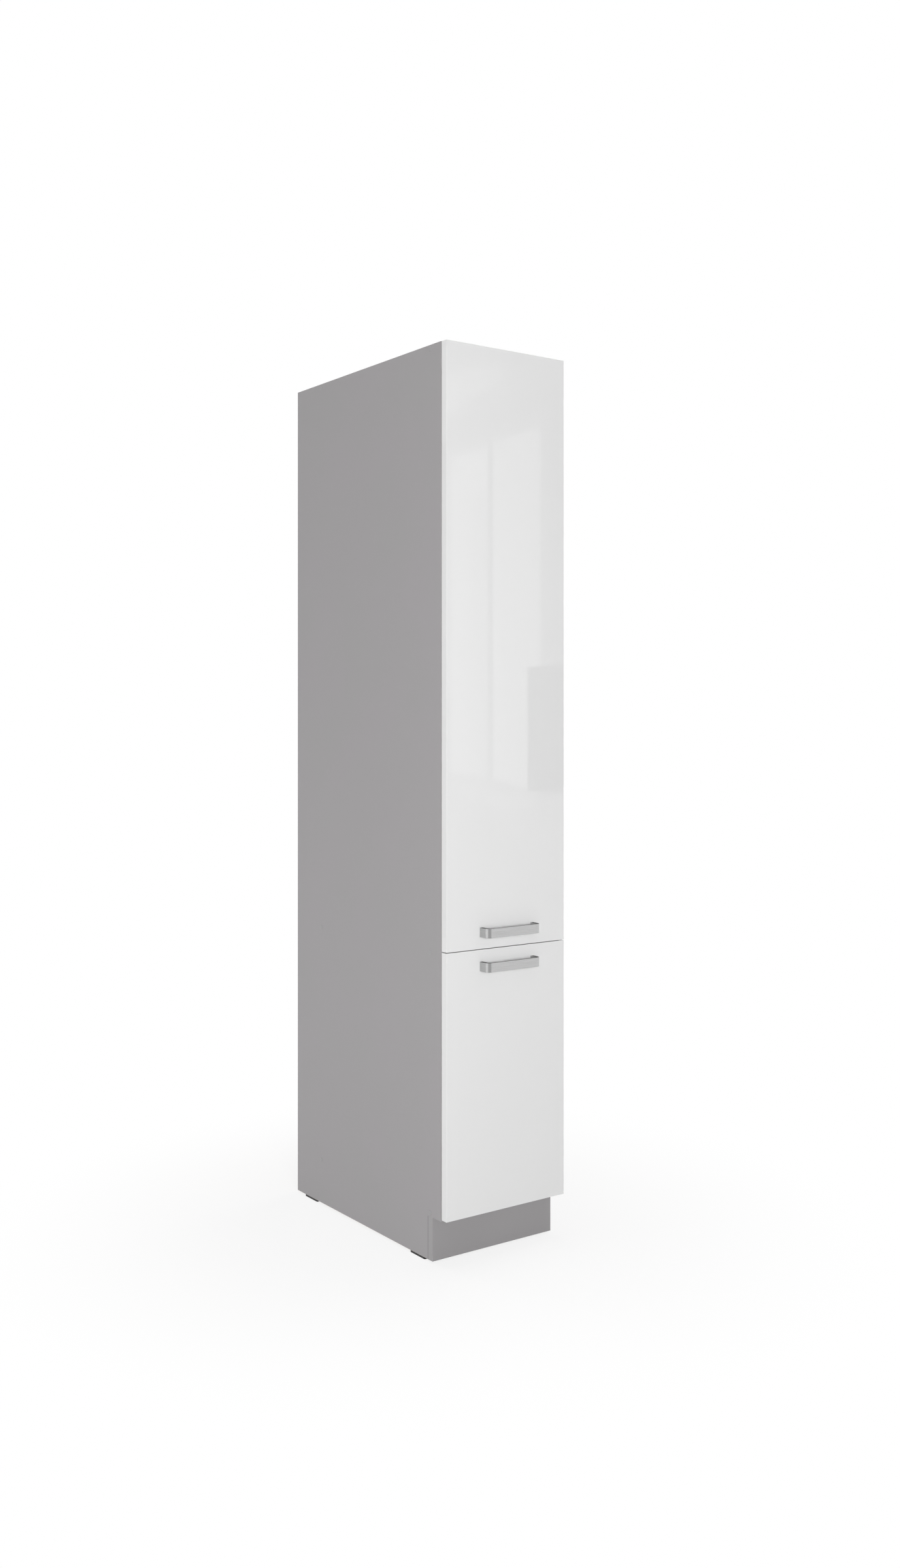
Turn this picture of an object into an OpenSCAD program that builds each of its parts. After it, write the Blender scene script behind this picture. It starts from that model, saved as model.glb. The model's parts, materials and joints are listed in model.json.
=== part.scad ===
// Tall narrow larder unit with two fronts. Each front carries a welded frame of
// trays that rides out of the carcase on a pair of ball-bearing runners.
// X runs to the right, Y to the back and Z up. The origin is on the floor, under
// the middle of the whole unit. All sizes are in millimetres.

/* [Carcase] */
// Width over the two side panels
cab_w = 300; // [280:5:400]
// Height of a side panel
side_h = 1809.5; // [1500:0.5:2200]
// Room in front of the back panel, behind the runners and the frames
back_room = 39; // [20:1:80]
// Thickness of the side panels and of the three boards between them
board_t = 16; // [15:0.5:19]
// Underside of the bottom board above the lower edge of the side panels
toe_h = 86.2; // [70:0.2:120]
// Depth of the toe notch, from the front edge of the side panels
toe_d = 44; // [36:1:60]
// Underside of the fixed middle board above the lower edge of the side panels
middle_z = 601; // [480:1:700]
// Thickness of the back panel
back_t = 3; // [3:0.5:5]
// Distance from the rear edge of the side panels to the back panel
back_inset = 18; // [12:1:24]
// Depth of the groove that holds the back panel
groove_d = 6; // [4:0.5:8]
// Thickness of the plinth board
plinth_t = 16; // [15:0.5:19]

/* [Glides and caps] */
// Height of a floor glide
glide_h = 4; // [3:0.5:8]
// Length of a floor glide, front to back
glide_len = 52; // [30:1:60]
// Middle of the front glide behind the front edge of the side panel
glide_front = 81.5; // [75:0.5:110]
// Middle of the rear glide in front of the rear edge of the side panel
glide_rear = 60; // [40:0.5:90]
// Diameter of a cap over a carcase screw
cap_dia = 10; // [9:0.5:13]
// Height of a cap over the panel
cap_h = 0.8; // [0.5:0.1:1.5]

/* [Fronts] */
// Thickness of a front
front_t = 16; // [16:0.5:22]
// Gap between a front and the edges of the carcase
front_gap = 1; // [0.5:0.1:3]
// Distance that a front stays inside the carcase on each side
front_reveal = 1.5; // [1:0.1:3]
// Lower edge of the lower front above the underside of the bottom board
front_low = 3; // [0:0.5:8]
// Gap between the two fronts
split_gap = 1.6; // [1.6:0.1:5]
// Middle of that gap above the middle of the middle board
split_rise = 4.8; // [0:0.1:6]

/* [Handles] */
// Distance between the two screws of a handle
handle_pitch = 128; // [96:32:160]
// Thickness of a handle's leg
leg_t = 7.2; // [6.4:0.2:9]
// Thickness of a handle's bar
bar_t = 4; // [3:0.5:6]
// Height of the strip that a handle is made of
handle_tall = 18.5; // [12:0.5:26]
// Distance that a handle stands out from its front
handle_out = 26; // [18:0.5:35]
// Outer corner radius of a handle
handle_r = 10.5; // [7:0.5:14]
// Middle of a handle from the nearer edge of its front
handle_edge = 33; // [25:1:60]

/* [Runners] */
// Length of a runner
runner_len = 500; // [450:10:500]
// Height of a runner
runner_h = 45.5; // [44:0.5:52]
// Thickness of a runner, side panel to frame
runner_t = 12.7; // [12.7:0.1:14]
// Thickness of the runner's steel
runner_sheet = 1.2; // [1:0.1:1.3]
// Distance that a pull-out travels
travel = 470; // [300:10:470]
// Front end of a runner behind the front edge of the side panel
runner_set = 3; // [2:1:8]
// Middle of a runner above the board below it
runner_rise = 35; // [34:1:45]
// Diameter of a ball
ball_dia = 4.8; // [4.4:0.1:4.8]
// Clearance between a ball and its races
ball_play = 0.15; // [0.1:0.01:0.2]
// Number of balls in a row
balls = 12; // [6:1:12]
// Thickness of a ball cage
cage_t = 0.6; // [0.5:0.1:0.7]

/* [Frame] */
// Thickness of the carrier's and brackets' steel
sheet = 2; // [1.5:0.1:2.5]
// Height of the carrier's sides
carrier_h = 50; // [47:1:60]
// Underside of the carrier above the board below it
carrier_gap = 9; // [5:1:10]
// Width of the frame's tubes
tube_w = 40; // [30:1:50]
// Depth of the frame's tubes
tube_d = 20; // [15:1:25]
// Wall of the frame's tubes
tube_wall = 1.5; // [1.2:0.1:2]
// From the inner face of a front to the rear face of the rear upright
frame_d = 499; // [470:1:505]
// Gap between the top of the upper frame and the top board
roof_gap_upper = 29; // [26:1:60]
// Gap between the top of the lower frame and the middle board
roof_gap_lower = 10; // [5:1:40]

/* [Trays] */
// Room on each side of a tray, inside the carrier
tray_side_gap = 9.3; // [6:0.1:20]
// Thickness of a tray
tray_t = 10; // [8:0.5:12]
// Corner radius of a tray
tray_r = 18; // [14:1:26]
// Depth of the hollow in a tray's upper face
tray_dish = 2; // [1:0.5:4]
// Diameter of a rail wire
rail_dia = 5; // [4.6:0.2:6]
// Diameter of a post wire
post_dia = 4; // [3:0.2:4.4]
// Middle of the lower rail above its tray
rail_low = 36; // [25:1:45]
// Middle of the upper rail above its tray
rail_high = 72; // [55:1:100]
// Lower face of the first tray above the carrier's floor
first_tray = 6; // [4:1:10]

/* [Top guide] */
// Diameter of the guide roller
roller_dia = 19; // [16:0.5:24]
// Height of the guide roller
roller_h = 11; // [8:0.5:12]
// Clearance between the roller and its rail on each side
roller_play = 0.4; // [0.3:0.05:1]
// Diameter of the roller's pin
pin_dia = 6; // [5:0.5:8]
// Depth of the guide rail
rail_h = 18; // [17:0.5:20]
// Length of the guide rail behind the middle of the roller
rail_past = 34; // [25:1:45]

/* [Hidden] */

$fn = 48;
UPPER = 0;
LOWER = 1;
LEFT = -1;
RIGHT = 1;
CUT = 1; // a cutter runs this far past the face that it cuts

// Depths behind the front edge of the side panels. The carcase is as deep as its
// runners or its frames need, whichever reach further.
runner_end = runner_set + runner_len;
frame_end = frame_d - front_gap; // rear face of the rear uprights
board_d = max(runner_end, frame_end + sheet) + back_room;
side_d = board_d + back_t + back_inset;

// Depth, from the tip of the handles to the rear edge of the side panels
total_d = handle_out + front_t + front_gap + side_d;
face_y = handle_out - total_d / 2; // outer face of the fronts
inner_face_y = face_y + front_t; // inner face of the fronts
side_y = inner_face_y + front_gap; // front edge of the side panels
rear_y = side_y + side_d; // rear edge of the side panels
back_y = side_y + board_d; // front face of the back panel

// Heights above the floor; the panels stand on the glides
side_z = glide_h;
side_top = side_z + side_h;
inner_w = cab_w - 2 * board_t;
bottom_z = side_z + toe_h;
shelf_z = side_z + middle_z;
top_z = side_top - board_t;
floor_z = [shelf_z + board_t, bottom_z + board_t]; // below each pull-out
roof_z = [top_z, shelf_z]; // above each pull-out

// Fronts and handles, upper one first
front_w = cab_w - 2 * front_reveal;
split_z = shelf_z + board_t / 2 + split_rise;
front_z0 = [split_z + split_gap / 2, bottom_z + front_low];
front_z1 = [side_top, split_z - split_gap / 2];
handle_z = [front_z0[UPPER] + handle_edge, front_z1[LOWER] - handle_edge];
handle_screw_dia = 4;
handle_screw_head = 8;
handle_head_h = 2.6;
handle_screw_deep = 11; // from the front's outer face into the handle's leg

// Carcase screws
screw_front = 37.5; // from the front edge of the side panels
screw_rear = 104; // from their rear edge
screw_len = 50;
screw_dia = 5;
screw_neck_dia = 7;
screw_neck_len = 12;
screw_head_dia = 9.6;
screw_rim = 1; // straight rim of the head, above its cone
play = 0.1; // around a screw, and around what sits in a groove
carcase_rows = [bottom_z + board_t / 2, shelf_z + board_t / 2, top_z + board_t / 2];

// Plinth, in the toe notch
notch_y = side_y + toe_d;
plinth_play = 0.2;
glide_r = 3;
plinth_h = toe_h - plinth_play;

// Angle brackets: behind the plinth, and from the top board to the wall
angle_w = 18;
angle_leg = 30;
plinth_angle_x = inner_w / 2 - 49;
wall_angle_x = inner_w / 2 - 34;
wall_hole_dia = 5.5;
small_dia = 3.5;
small_head = 7;
small_head_h = 1.6;
small_len = 12;

// Runner section. Its first axis runs from the side panel to the frame and its
// second axis up. The three sections lie one inside the other.
runner_y = side_y + runner_set;
half_h = runner_h / 2;
race_deep = 0.6; // depth of a race in a flange
flange_t = runner_sheet + race_deep; // flange with a race on one side
outer_row = half_h - runner_sheet - ball_play - ball_dia / 2;
middle_out = outer_row - ball_dia / 2 - ball_play; // floor of the middle's outer race
middle_in = middle_out - runner_sheet; // roof of the middle's inner race
inner_row = middle_in - ball_play - ball_dia / 2;
inner_out = inner_row - ball_dia / 2 - ball_play; // floor of the inner runner's race
outer_ball_u = 6; // middle of the outer balls from the side panel
inner_ball_u = 7.4; // middle of the inner balls from the side panel
outer_lip = 10.4; // front of the outer runner's flanges
middle_web = 2.6; // middle runner's web from the side panel
middle_lip = 10.6;
inner_lip = 5.2; // where the inner runner's flanges end
cage_gap = 0.4; // between a cage and the web beside it
outer_cage_u = runner_sheet + cage_gap;
inner_cage_u = middle_web + runner_sheet + cage_gap;
cage_reach = 3; // a cage's flanges run this far past the ball's middle
end_room = 4; // between a cage's end and the overlap of its runners at full travel
cage_front = travel / 4 + end_room;
cage_len = runner_len - travel / 2 - 2 * end_room;
ball_pitch = cage_len / balls;
cage_hole_play = 0.1;
runner_screw_at = [35, runner_len / 2, runner_len - 35];
runner_screw_dia = 4;
runner_screw_head = 7.4;
runner_screw_len = 13;
slot_len = 26; // screwdriver slots in the middle and inner runners
middle_slot_h = 12;
inner_slot_h = 8;
slot_flat = 0.02; // straight part of a slot's round end
frame_screw_front = 60; // from the front end of the runner
frame_screw_rear = 55; // from the rear end of the runner or the frame, the nearer one
frame_screw_at = [frame_screw_front,
                  min(runner_len, frame_end - runner_set) - frame_screw_rear];
frame_screw_head = 7;
frame_screw_head_h = 2;
frame_screw_past = 0.5; // the tip stands this far past the inner runner

// Frame
carrier_z = [floor_z[UPPER] + carrier_gap, floor_z[LOWER] + carrier_gap];
deck_z = [carrier_z[UPPER] + sheet, carrier_z[LOWER] + sheet]; // carrier's floor
runner_z = [floor_z[UPPER] + runner_rise, floor_z[LOWER] + runner_rise];
carrier_w = inner_w - 2 * runner_t;
beam_top = [roof_z[UPPER] - roof_gap_upper, roof_z[LOWER] - roof_gap_lower];
beam_z = [beam_top[UPPER] - tube_d, beam_top[LOWER] - tube_d];
tube_r = 3;
upright_front_y = inner_face_y + sheet; // front face of the front upright
upright_rear_y = side_y + frame_end; // rear face of the rear upright
carrier_d = frame_d + sheet;

// Brackets between the front upright and the front
bracket_w = 92;
bracket_h = 30;
bracket_screw_x = 36;
bracket_rows = [3, 2];
bracket_z0 = [deck_z[UPPER] + 217, deck_z[LOWER] + 190];
bracket_z1 = [beam_z[UPPER] - 70, beam_z[LOWER] - 70];
bracket_screw_dia = 4;
bracket_screw_len = 14;
bracket_screw_head = 8;
bracket_head_h = 2.2;
ear_screw_len = 6;
access_dia = 13; // hole in the carrier round a handle screw's head
carrier_screw_x = carrier_w / 2 - 16; // from the middle of the carrier's front plate

// Trays
trays = [4, 2];
tray_w = carrier_w - 2 * (sheet + tray_side_gap);
tray_gap = 2; // between a tray's end and the upright beside it
tray_front = upright_front_y + tube_d + tray_gap;
tray_back = upright_rear_y - tube_d - tray_gap;
tray_d = tray_back - tray_front;
tray_mid = (tray_front + tray_back) / 2;
first_z = [deck_z[UPPER] + first_tray, deck_z[LOWER] + first_tray];
tray_pitch = [(beam_z[UPPER] - first_z[UPPER]) / trays[UPPER],
              (beam_z[LOWER] - first_z[LOWER]) / trays[LOWER]];
rim_w = 14; // rim round the hollow
rail_inset = rim_w / 2;
post_deep = 5; // a post goes this far into its tray
post_from_corner = 12;

// Hook plates that hang a tray on the uprights
hook_w = 34;
hook_up = 30;
hook_under = 34;
hook_t = 1.5;
hook_x = 9;
tongue_t = 3;
tongue_low = 8;
tongue_high = 22;
tongue_throat = 12; // height at which the tongue leaves its plate
slot_play = 0.3;

// Top guide
rail_t = 1.5;
rail_w = roller_dia + 2 * (roller_play + rail_t);
rail_y = side_y + 7;
roller_y = upright_rear_y - tube_d / 2;
rail_len = roller_y + rail_past - rail_y;
roller_over = 1.4; // roller's lower face above the lower edge of the rail
roller_z = top_z - rail_h + roller_over;
roller_end = 0.3; // end play of the roller on its pin
bore_play = 0.03;
collar_dia = 11;
pin_head_h = 1.4;
rail_screw_at = [30, rail_len / 2, rail_len - 30];

function tray_z(level, k) = first_z[level] + (k - 1) * tray_pitch[level];
function bracket_at(level, k) = bracket_z0[level]
    + k * (bracket_z1[level] - bracket_z0[level]) / (bracket_rows[level] - 1);

// ---------------------------------------------------------------- shapes

// Rectangle with round corners, about its middle
module round_rect(w, d, r) {
    square([w - 2 * r, d], center = true);
    square([w, d - 2 * r], center = true);
    for (sx = [-1, 1], sy = [-1, 1])
        translate([sx * (w / 2 - r), sy * (d / 2 - r)]) circle(r = r);
}

// Slot with round ends, about its middle
module slot(w, h) {
    round_rect(w, h, (h - slot_flat) / 2);
}

// Strip of one thickness along a run of points, round at its bends
module strip(points, t) {
    for (i = [0 : len(points) - 2]) {
        run = points[i + 1] - points[i];
        translate(points[i])
            rotate(atan2(run[1], run[0]))
                translate([0, -t / 2]) square([norm(run), t]);
    }
    for (i = [1 : len(points) - 2])
        translate(points[i]) circle(d = t);
}

// Extrudes a section of X and Z along Y, from y0 over a length
module along_y(y0, length) {
    translate([0, y0 + length, 0])
        rotate([90, 0, 0])
            linear_extrude(height = length) children();
}

// Extrudes a section of Y and Z along X, about the middle
module along_x(length) {
    translate([-length / 2, 0, 0])
        rotate([90, 0, 90]) linear_extrude(height = length) children();
}

// Countersunk screw along Z, its flat head at zero and its tip below
module sunk_screw(dia, head, length, gap = 0) {
    r = dia / 2 + gap;
    cone = (head - dia) / 2;
    rotate_extrude()
        polygon([[0, gap > 0 ? CUT : 0], [head / 2 + gap, gap > 0 ? CUT : 0],
                 [head / 2 + gap, 0], [r, -cone], [r, -length - gap], [0, -length - gap]]);
}

// Screw with a low round head above zero and its tip below
module round_screw(dia, head, head_h, length) {
    edge = head_h / 3;
    rotate_extrude()
        polygon([[0, -length], [dia / 2, -length], [dia / 2, 0], [head / 2, 0],
                 [head / 2, head_h - edge], [head / 2 - edge, head_h], [0, head_h]]);
}

// Places its children on the inner face of a side panel, at a height. There the
// X axis points from the panel to the frame, on the left and on the right.
module at_side(side, z) {
    translate([side * inner_w / 2, 0, z])
        mirror([side == RIGHT ? 1 : 0, 0, 0]) children();
}

// ---------------------------------------------------------------- carcase

// Carcase screw along X: the head is at zero and the tip points to +X
module carcase_screw(gap = 0) {
    neck = screw_neck_dia / 2 + gap;
    head = screw_head_dia / 2 + gap;
    stem = screw_dia / 2 + gap;
    start = gap > 0 ? -CUT : 0;
    rotate([0, 90, 0])
        rotate_extrude()
            polygon([[0, start], [head, start], [head, screw_rim], [neck, screw_rim + head - neck],
                     [neck, screw_neck_len], [stem, screw_neck_len + neck - stem],
                     [stem, screw_len + gap], [0, screw_len + gap]]);
}

// Every carcase screw, on both sides
module each_carcase_screw() {
    for (side = [LEFT, RIGHT], z = carcase_rows, y = [side_y + screw_front, rear_y - screw_rear])
        translate([side * cab_w / 2, y, z])
            mirror([side == RIGHT ? 1 : 0, 0, 0]) children();
}

// Every screw that holds an outer runner, its head on the runner's web
module each_runner_screw(side) {
    for (level = [UPPER, LOWER], y = runner_screw_at)
        at_side(side, runner_z[level])
            translate([runner_sheet, runner_y + y, 0]) rotate([0, 90, 0]) children();
}

module side_panel(side) {
    color("#a2a1a2")
    difference() {
        translate([side * (cab_w - board_t) / 2 - board_t / 2, 0, 0])
            rotate([90, 0, 90])
                linear_extrude(height = board_t)
                    polygon([[notch_y, side_z], [rear_y, side_z], [rear_y, side_top],
                             [side_y, side_top], [side_y, bottom_z], [notch_y, bottom_z]]);
        at_side(side, 0)
            translate([-groove_d, back_y - play, side_z - CUT])
                cube([groove_d + CUT, back_t + 2 * play, side_h + 2 * CUT]);
        each_carcase_screw() carcase_screw(play);
        each_runner_screw(side) sunk_screw(runner_screw_dia, runner_screw_head,
                                           runner_screw_len, play);
    }
}

// Board between the side panels
module cross_board(z) {
    color("#a8a7a8")
    difference() {
        translate([-inner_w / 2, side_y, z]) cube([inner_w, board_d, board_t]);
        each_carcase_screw() carcase_screw(play);
        if (z == top_z) {
            each_rail_screw() small_screw(play);
            each_angle_screw() small_screw(play);
        }
        if (z == bottom_z)
            each_angle_screw() small_screw(play);
    }
}

module back_panel() {
    slack = 2 * play;
    color("#b4b3b4")
    difference() {
        translate([-inner_w / 2 - groove_d + slack, back_y, bottom_z])
            cube([inner_w + 2 * (groove_d - slack), back_t, side_top - bottom_z]);
        for (side = [LEFT, RIGHT])
            translate([side * wall_angle_x, back_y - CUT, top_z - angle_leg / 2 - sheet])
                rotate([-90, 0, 0]) cylinder(d = wall_hole_dia, h = back_t + 2 * CUT);
    }
}

module plinth_board() {
    color("#959495")
    difference() {
        translate([-cab_w / 2, notch_y - plinth_t, side_z])
            cube([cab_w, plinth_t, plinth_h]);
        each_angle_screw() small_screw(play);
    }
}

module floor_glides() {
    color("#1d1d1e")
    for (side = [LEFT, RIGHT], y = [side_y + glide_front, rear_y - glide_rear])
        translate([side * (cab_w - board_t) / 2, y, 0])
            linear_extrude(height = glide_h) round_rect(board_t, glide_len, glide_r);
}

module cover_caps() {
    r = cap_dia / 2;
    color("#a5a4a5")
    each_carcase_screw()
        rotate([0, -90, 0])
            rotate_extrude()
                polygon([[0, 0], [r, 0], [r, cap_h / 2], [r - cap_h, cap_h], [0, cap_h]]);
}

module carcase_screws() {
    color("#c9c9cb") {
        each_carcase_screw() carcase_screw();
        each_angle_screw() small_screw();
        each_rail_screw() small_screw();
    }
}

// Small screw with its head below zero and its tip above, or the hole for it
module small_screw(gap = 0) {
    if (gap > 0)
        cylinder(d = small_dia + 2 * gap, h = 2 * (small_len + gap), center = true);
    else
        mirror([0, 0, 1]) round_screw(small_dia, small_head, small_head_h, small_len);
}

// Angle bracket: one leg lies on a board at zero height and runs to -Y, the other
// stands on a board at zero depth and runs down.
module angle() {
    difference() {
        along_x(angle_w)
            polygon([[0, 0], [-angle_leg, 0], [-angle_leg, -sheet], [-sheet, -sheet],
                     [-sheet, -angle_leg], [0, -angle_leg]]);
        translate([0, -angle_leg / 2 - sheet, 0])
            cylinder(d = small_dia + 2 * play, h = 2 * sheet + CUT, center = true);
        translate([0, 0, -angle_leg / 2 - sheet])
            rotate([90, 0, 0])
                cylinder(d = wall_hole_dia, h = 2 * sheet + CUT, center = true);
    }
}

// Places of the wall brackets, and of the brackets behind the plinth
module each_wall_angle() {
    for (side = [LEFT, RIGHT])
        translate([side * wall_angle_x, back_y, top_z]) children();
}

module each_plinth_angle() {
    for (side = [LEFT, RIGHT])
        translate([side * plinth_angle_x, notch_y, bottom_z])
            mirror([0, 1, 0]) children();
}

// Screws of the brackets, each with its head below or behind the bracket's leg
module each_angle_screw() {
    each_wall_angle()
        translate([0, -angle_leg / 2 - sheet, -sheet]) children();
    each_plinth_angle() {
        translate([0, -angle_leg / 2 - sheet, -sheet]) children();
        translate([0, -sheet, -angle_leg / 2 - sheet]) rotate([-90, 0, 0]) children();
    }
}

module carcase_brackets() {
    color("#bfc1c4") {
        each_wall_angle() angle();
        each_plinth_angle() angle();
    }
}

// ---------------------------------------------------------------- runners

// Flange of a runner member, above the middle line, from u0 to u1 and up to v1,
// with a round lip at its free end
module flange(u0, u1, v0, v1, lip) {
    t = v1 - v0;
    a = lip > 0 ? u0 : u0 + t / 2;
    b = lip > 0 ? u1 - t / 2 : u1;
    translate([a, v0]) square([b - a, t]);
    translate([lip > 0 ? b : a, v0 + t / 2]) circle(d = t);
}

// Ball race, cut along a member
module race(u, v) {
    translate([u, v]) circle(d = ball_dia + 2 * ball_play);
}

// A section and its mirror image below the middle line
module both_ways() {
    children();
    mirror([0, 1]) children();
}

// Section fixed to the side panel
module outer_section() {
    difference() {
        union() {
            translate([0, -half_h]) square([runner_sheet, runner_h]);
            both_ways() flange(0, outer_lip, half_h - flange_t, half_h, 1);
        }
        both_ways() race(outer_ball_u, outer_row);
    }
}

// Section between the other two
module middle_section() {
    top = middle_out + race_deep;
    low = middle_in - race_deep;
    difference() {
        union() {
            translate([middle_web, -top]) square([runner_sheet, 2 * top]);
            both_ways() flange(middle_web, middle_lip, low, top, 1);
        }
        both_ways() {
            race(outer_ball_u, outer_row);
            race(inner_ball_u, inner_row);
        }
    }
}

// Section fixed to the carrier
module inner_section() {
    top = inner_out + race_deep;
    difference() {
        union() {
            translate([runner_t - runner_sheet, -top]) square([runner_sheet, 2 * top]);
            both_ways() flange(inner_lip, runner_t, top - flange_t, top, -1);
        }
        both_ways() race(inner_ball_u, inner_row);
    }
}

// Extrudes a runner section over a length, in its place
module runner_run(side, level, y0, length) {
    at_side(side, runner_z[level]) along_y(y0, length) children();
}

module outer_runner(side, level) {
    color("#c3c6ca")
    difference() {
        runner_run(side, level, runner_y, runner_len) outer_section();
        each_runner_screw(side) sunk_screw(runner_screw_dia, runner_screw_head,
                                           runner_screw_len, play);
    }
}

module middle_runner(side, level) {
    color("#b9bcc1")
    difference() {
        runner_run(side, level, runner_y, runner_len) middle_section();
        for (y = runner_screw_at)
            at_side(side, runner_z[level])
                translate([middle_web - CUT, runner_y + y, 0])
                    rotate([90, 0, 90])
                        linear_extrude(height = runner_sheet + 2 * CUT)
                            slot(slot_len, middle_slot_h);
    }
}

module inner_runner(side, level) {
    color("#cdd0d4")
    difference() {
        runner_run(side, level, runner_y, runner_len) inner_section();
        each_frame_screw(side, level)
            cylinder(d = runner_screw_dia + 2 * play, h = 4 * (sheet + runner_sheet),
                     center = true);
        for (y = runner_screw_at)
            at_side(side, runner_z[level])
                translate([runner_t - runner_sheet - CUT, runner_y + y, 0])
                    rotate([90, 0, 90])
                        linear_extrude(height = runner_sheet + 2 * CUT)
                            slot(slot_len, inner_slot_h);
    }
}

module runner_screws() {
    color("#d6d6d8")
    for (side = [LEFT, RIGHT])
        each_runner_screw(side)
            sunk_screw(runner_screw_dia, runner_screw_head, runner_screw_len);
}

// One cage with its two rows of balls, at a web distance, row height and ball middle
module ball_cage(u, row, ball_u) {
    reach = ball_u + cage_reach;
    difference() {
        along_y(runner_y + cage_front, cage_len)
            strip([[reach, row], [u + cage_t / 2, row],
                   [u + cage_t / 2, -row], [reach, -row]], cage_t);
        each_ball(row, ball_u)
            cylinder(d = ball_dia + 2 * cage_hole_play, h = 4 * cage_t, center = true);
    }
    each_ball(row, ball_u) sphere(d = ball_dia);
}

module each_ball(row, ball_u) {
    for (i = [0 : balls - 1], v = [-row, row])
        translate([ball_u, runner_y + cage_front + (i + 0.5) * ball_pitch, v]) children();
}

module outer_ball_cages(level) {
    color("#d9dadc")
    for (side = [LEFT, RIGHT])
        at_side(side, runner_z[level]) ball_cage(outer_cage_u, outer_row, outer_ball_u);
}

module inner_ball_cages(level) {
    color("#d9dadc")
    for (side = [LEFT, RIGHT])
        at_side(side, runner_z[level]) ball_cage(inner_cage_u, inner_row, inner_ball_u);
}

// ---------------------------------------------------------------- fronts

// Places of the two handle screws, on the outer face of a front
module each_handle_screw(level) {
    for (x = [-handle_pitch / 2, handle_pitch / 2])
        translate([x, face_y, handle_z[level]]) rotate([90, 0, 0]) children();
}

module front(level) {
    color("#e2e2e1")
    difference() {
        translate([-front_w / 2, face_y, front_z0[level]])
            cube([front_w, front_t, front_z1[level] - front_z0[level]]);
        each_handle_screw(level)
            cylinder(d = handle_screw_dia + 4 * play, h = 2 * front_t + CUT, center = true);
        each_bracket_screw(level)
            cylinder(d = bracket_screw_dia + 2 * play,
                     h = 2 * (bracket_screw_len + play), center = true);
    }
}

// Outline of a bow handle in plan, of one leg thickness and one bar thickness
module handle_plan() {
    w = handle_pitch + leg_t;
    inner_r = handle_r - bar_t;
    gap_w = handle_pitch - leg_t;
    difference() {
        union() {
            translate([-w / 2, -handle_out + handle_r]) square([w, handle_out - handle_r]);
            translate([-w / 2 + handle_r, -handle_out]) square([w - 2 * handle_r, handle_r + CUT]);
            for (s = [-1, 1])
                translate([s * (w / 2 - handle_r), -handle_out + handle_r]) circle(r = handle_r);
        }
        translate([-gap_w / 2, -handle_out + bar_t + inner_r]) square([gap_w, handle_out]);
        translate([-gap_w / 2 + inner_r, -handle_out + bar_t])
            square([gap_w - 2 * inner_r, handle_out]);
        for (s = [-1, 1])
            translate([s * (gap_w / 2 - inner_r), -handle_out + bar_t + inner_r])
                circle(r = inner_r);
    }
}

module handle(level) {
    color("#b9b9b8")
    difference() {
        translate([0, face_y, handle_z[level] - handle_tall / 2])
            linear_extrude(height = handle_tall) handle_plan();
        each_handle_screw(level)
            cylinder(d = handle_screw_dia + 2 * play, h = 2 * (handle_screw_deep + 1),
                     center = true);
    }
}

// ---------------------------------------------------------------- frames

// Section of a frame tube, standing
module tube_section() {
    difference() {
        round_rect(tube_w, tube_d, tube_r);
        round_rect(tube_w - 2 * tube_wall, tube_d - 2 * tube_wall, tube_r - tube_wall);
    }
}

// Slots for the tongues of every tray on one upright
module each_slot(level, face, inward) {
    for (k = [1 : trays[level]], s = [-1, 1])
        translate([s * hook_x, face, tray_z(level, k)])
            mirror([0, inward > 0 ? 0 : 1, 0])
                translate([-tongue_t / 2 - slot_play, -tube_wall - CUT,
                           tongue_throat - slot_play])
                    cube([tongue_t + 2 * slot_play, tube_wall + 2 * CUT,
                          tongue_high - tongue_throat + 2 * slot_play]);
}

module front_upright(level) {
    color("#9c9ea1")
    difference() {
        translate([0, upright_front_y + tube_d / 2, deck_z[level]])
            linear_extrude(height = beam_z[level] - deck_z[level]) tube_section();
        each_slot(level, upright_front_y + tube_d, 1);
        each_ear_screw(level)
            cylinder(d = bracket_screw_dia + 2 * play, h = 2 * ear_screw_len, center = true);
    }
}

module rear_upright(level) {
    color("#9c9ea1")
    difference() {
        translate([0, upright_rear_y - tube_d / 2, deck_z[level]])
            linear_extrude(height = beam_z[level] - deck_z[level]) tube_section();
        each_slot(level, upright_rear_y - tube_d, -1);
    }
}

module beam(level) {
    color("#9c9ea1")
    translate([0, 0, beam_z[level] + tube_d / 2])
        along_y(upright_front_y, frame_d - sheet) tube_section();
}

// Steel trough between the two runners, with a plate at its front and a tab behind
module carrier(level) {
    low = sheet / 2;
    side_x = carrier_w / 2 - sheet / 2;
    color("#9c9ea1")
    difference() {
        translate([0, 0, carrier_z[level]]) {
            along_y(inner_face_y, carrier_d)
                strip([[-side_x, carrier_h], [-side_x, low], [side_x, low],
                       [side_x, carrier_h]], sheet);
            translate([-side_x, inner_face_y, low])
                cube([2 * side_x, sheet, carrier_h - low]);
            translate([-tube_w / 2, upright_rear_y, low])
                cube([tube_w, sheet, carrier_h - low]);
        }
        each_handle_screw(level)
            cylinder(d = access_dia, h = 4 * front_t, center = true);
        for (side = [LEFT, RIGHT])
            each_frame_screw(side, level)
                cylinder(d = runner_screw_dia + 2 * play, h = 4 * sheet, center = true);
        each_carrier_screw(level)
            cylinder(d = bracket_screw_dia + 2 * play, h = 4 * sheet, center = true);
    }
}

// Screws between a carrier and its inner runner, heads inside the carrier
module each_frame_screw(side, level) {
    for (y = frame_screw_at)
        at_side(side, runner_z[level])
            translate([runner_t + sheet, runner_y + y, 0]) rotate([0, 90, 0]) children();
}

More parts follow.
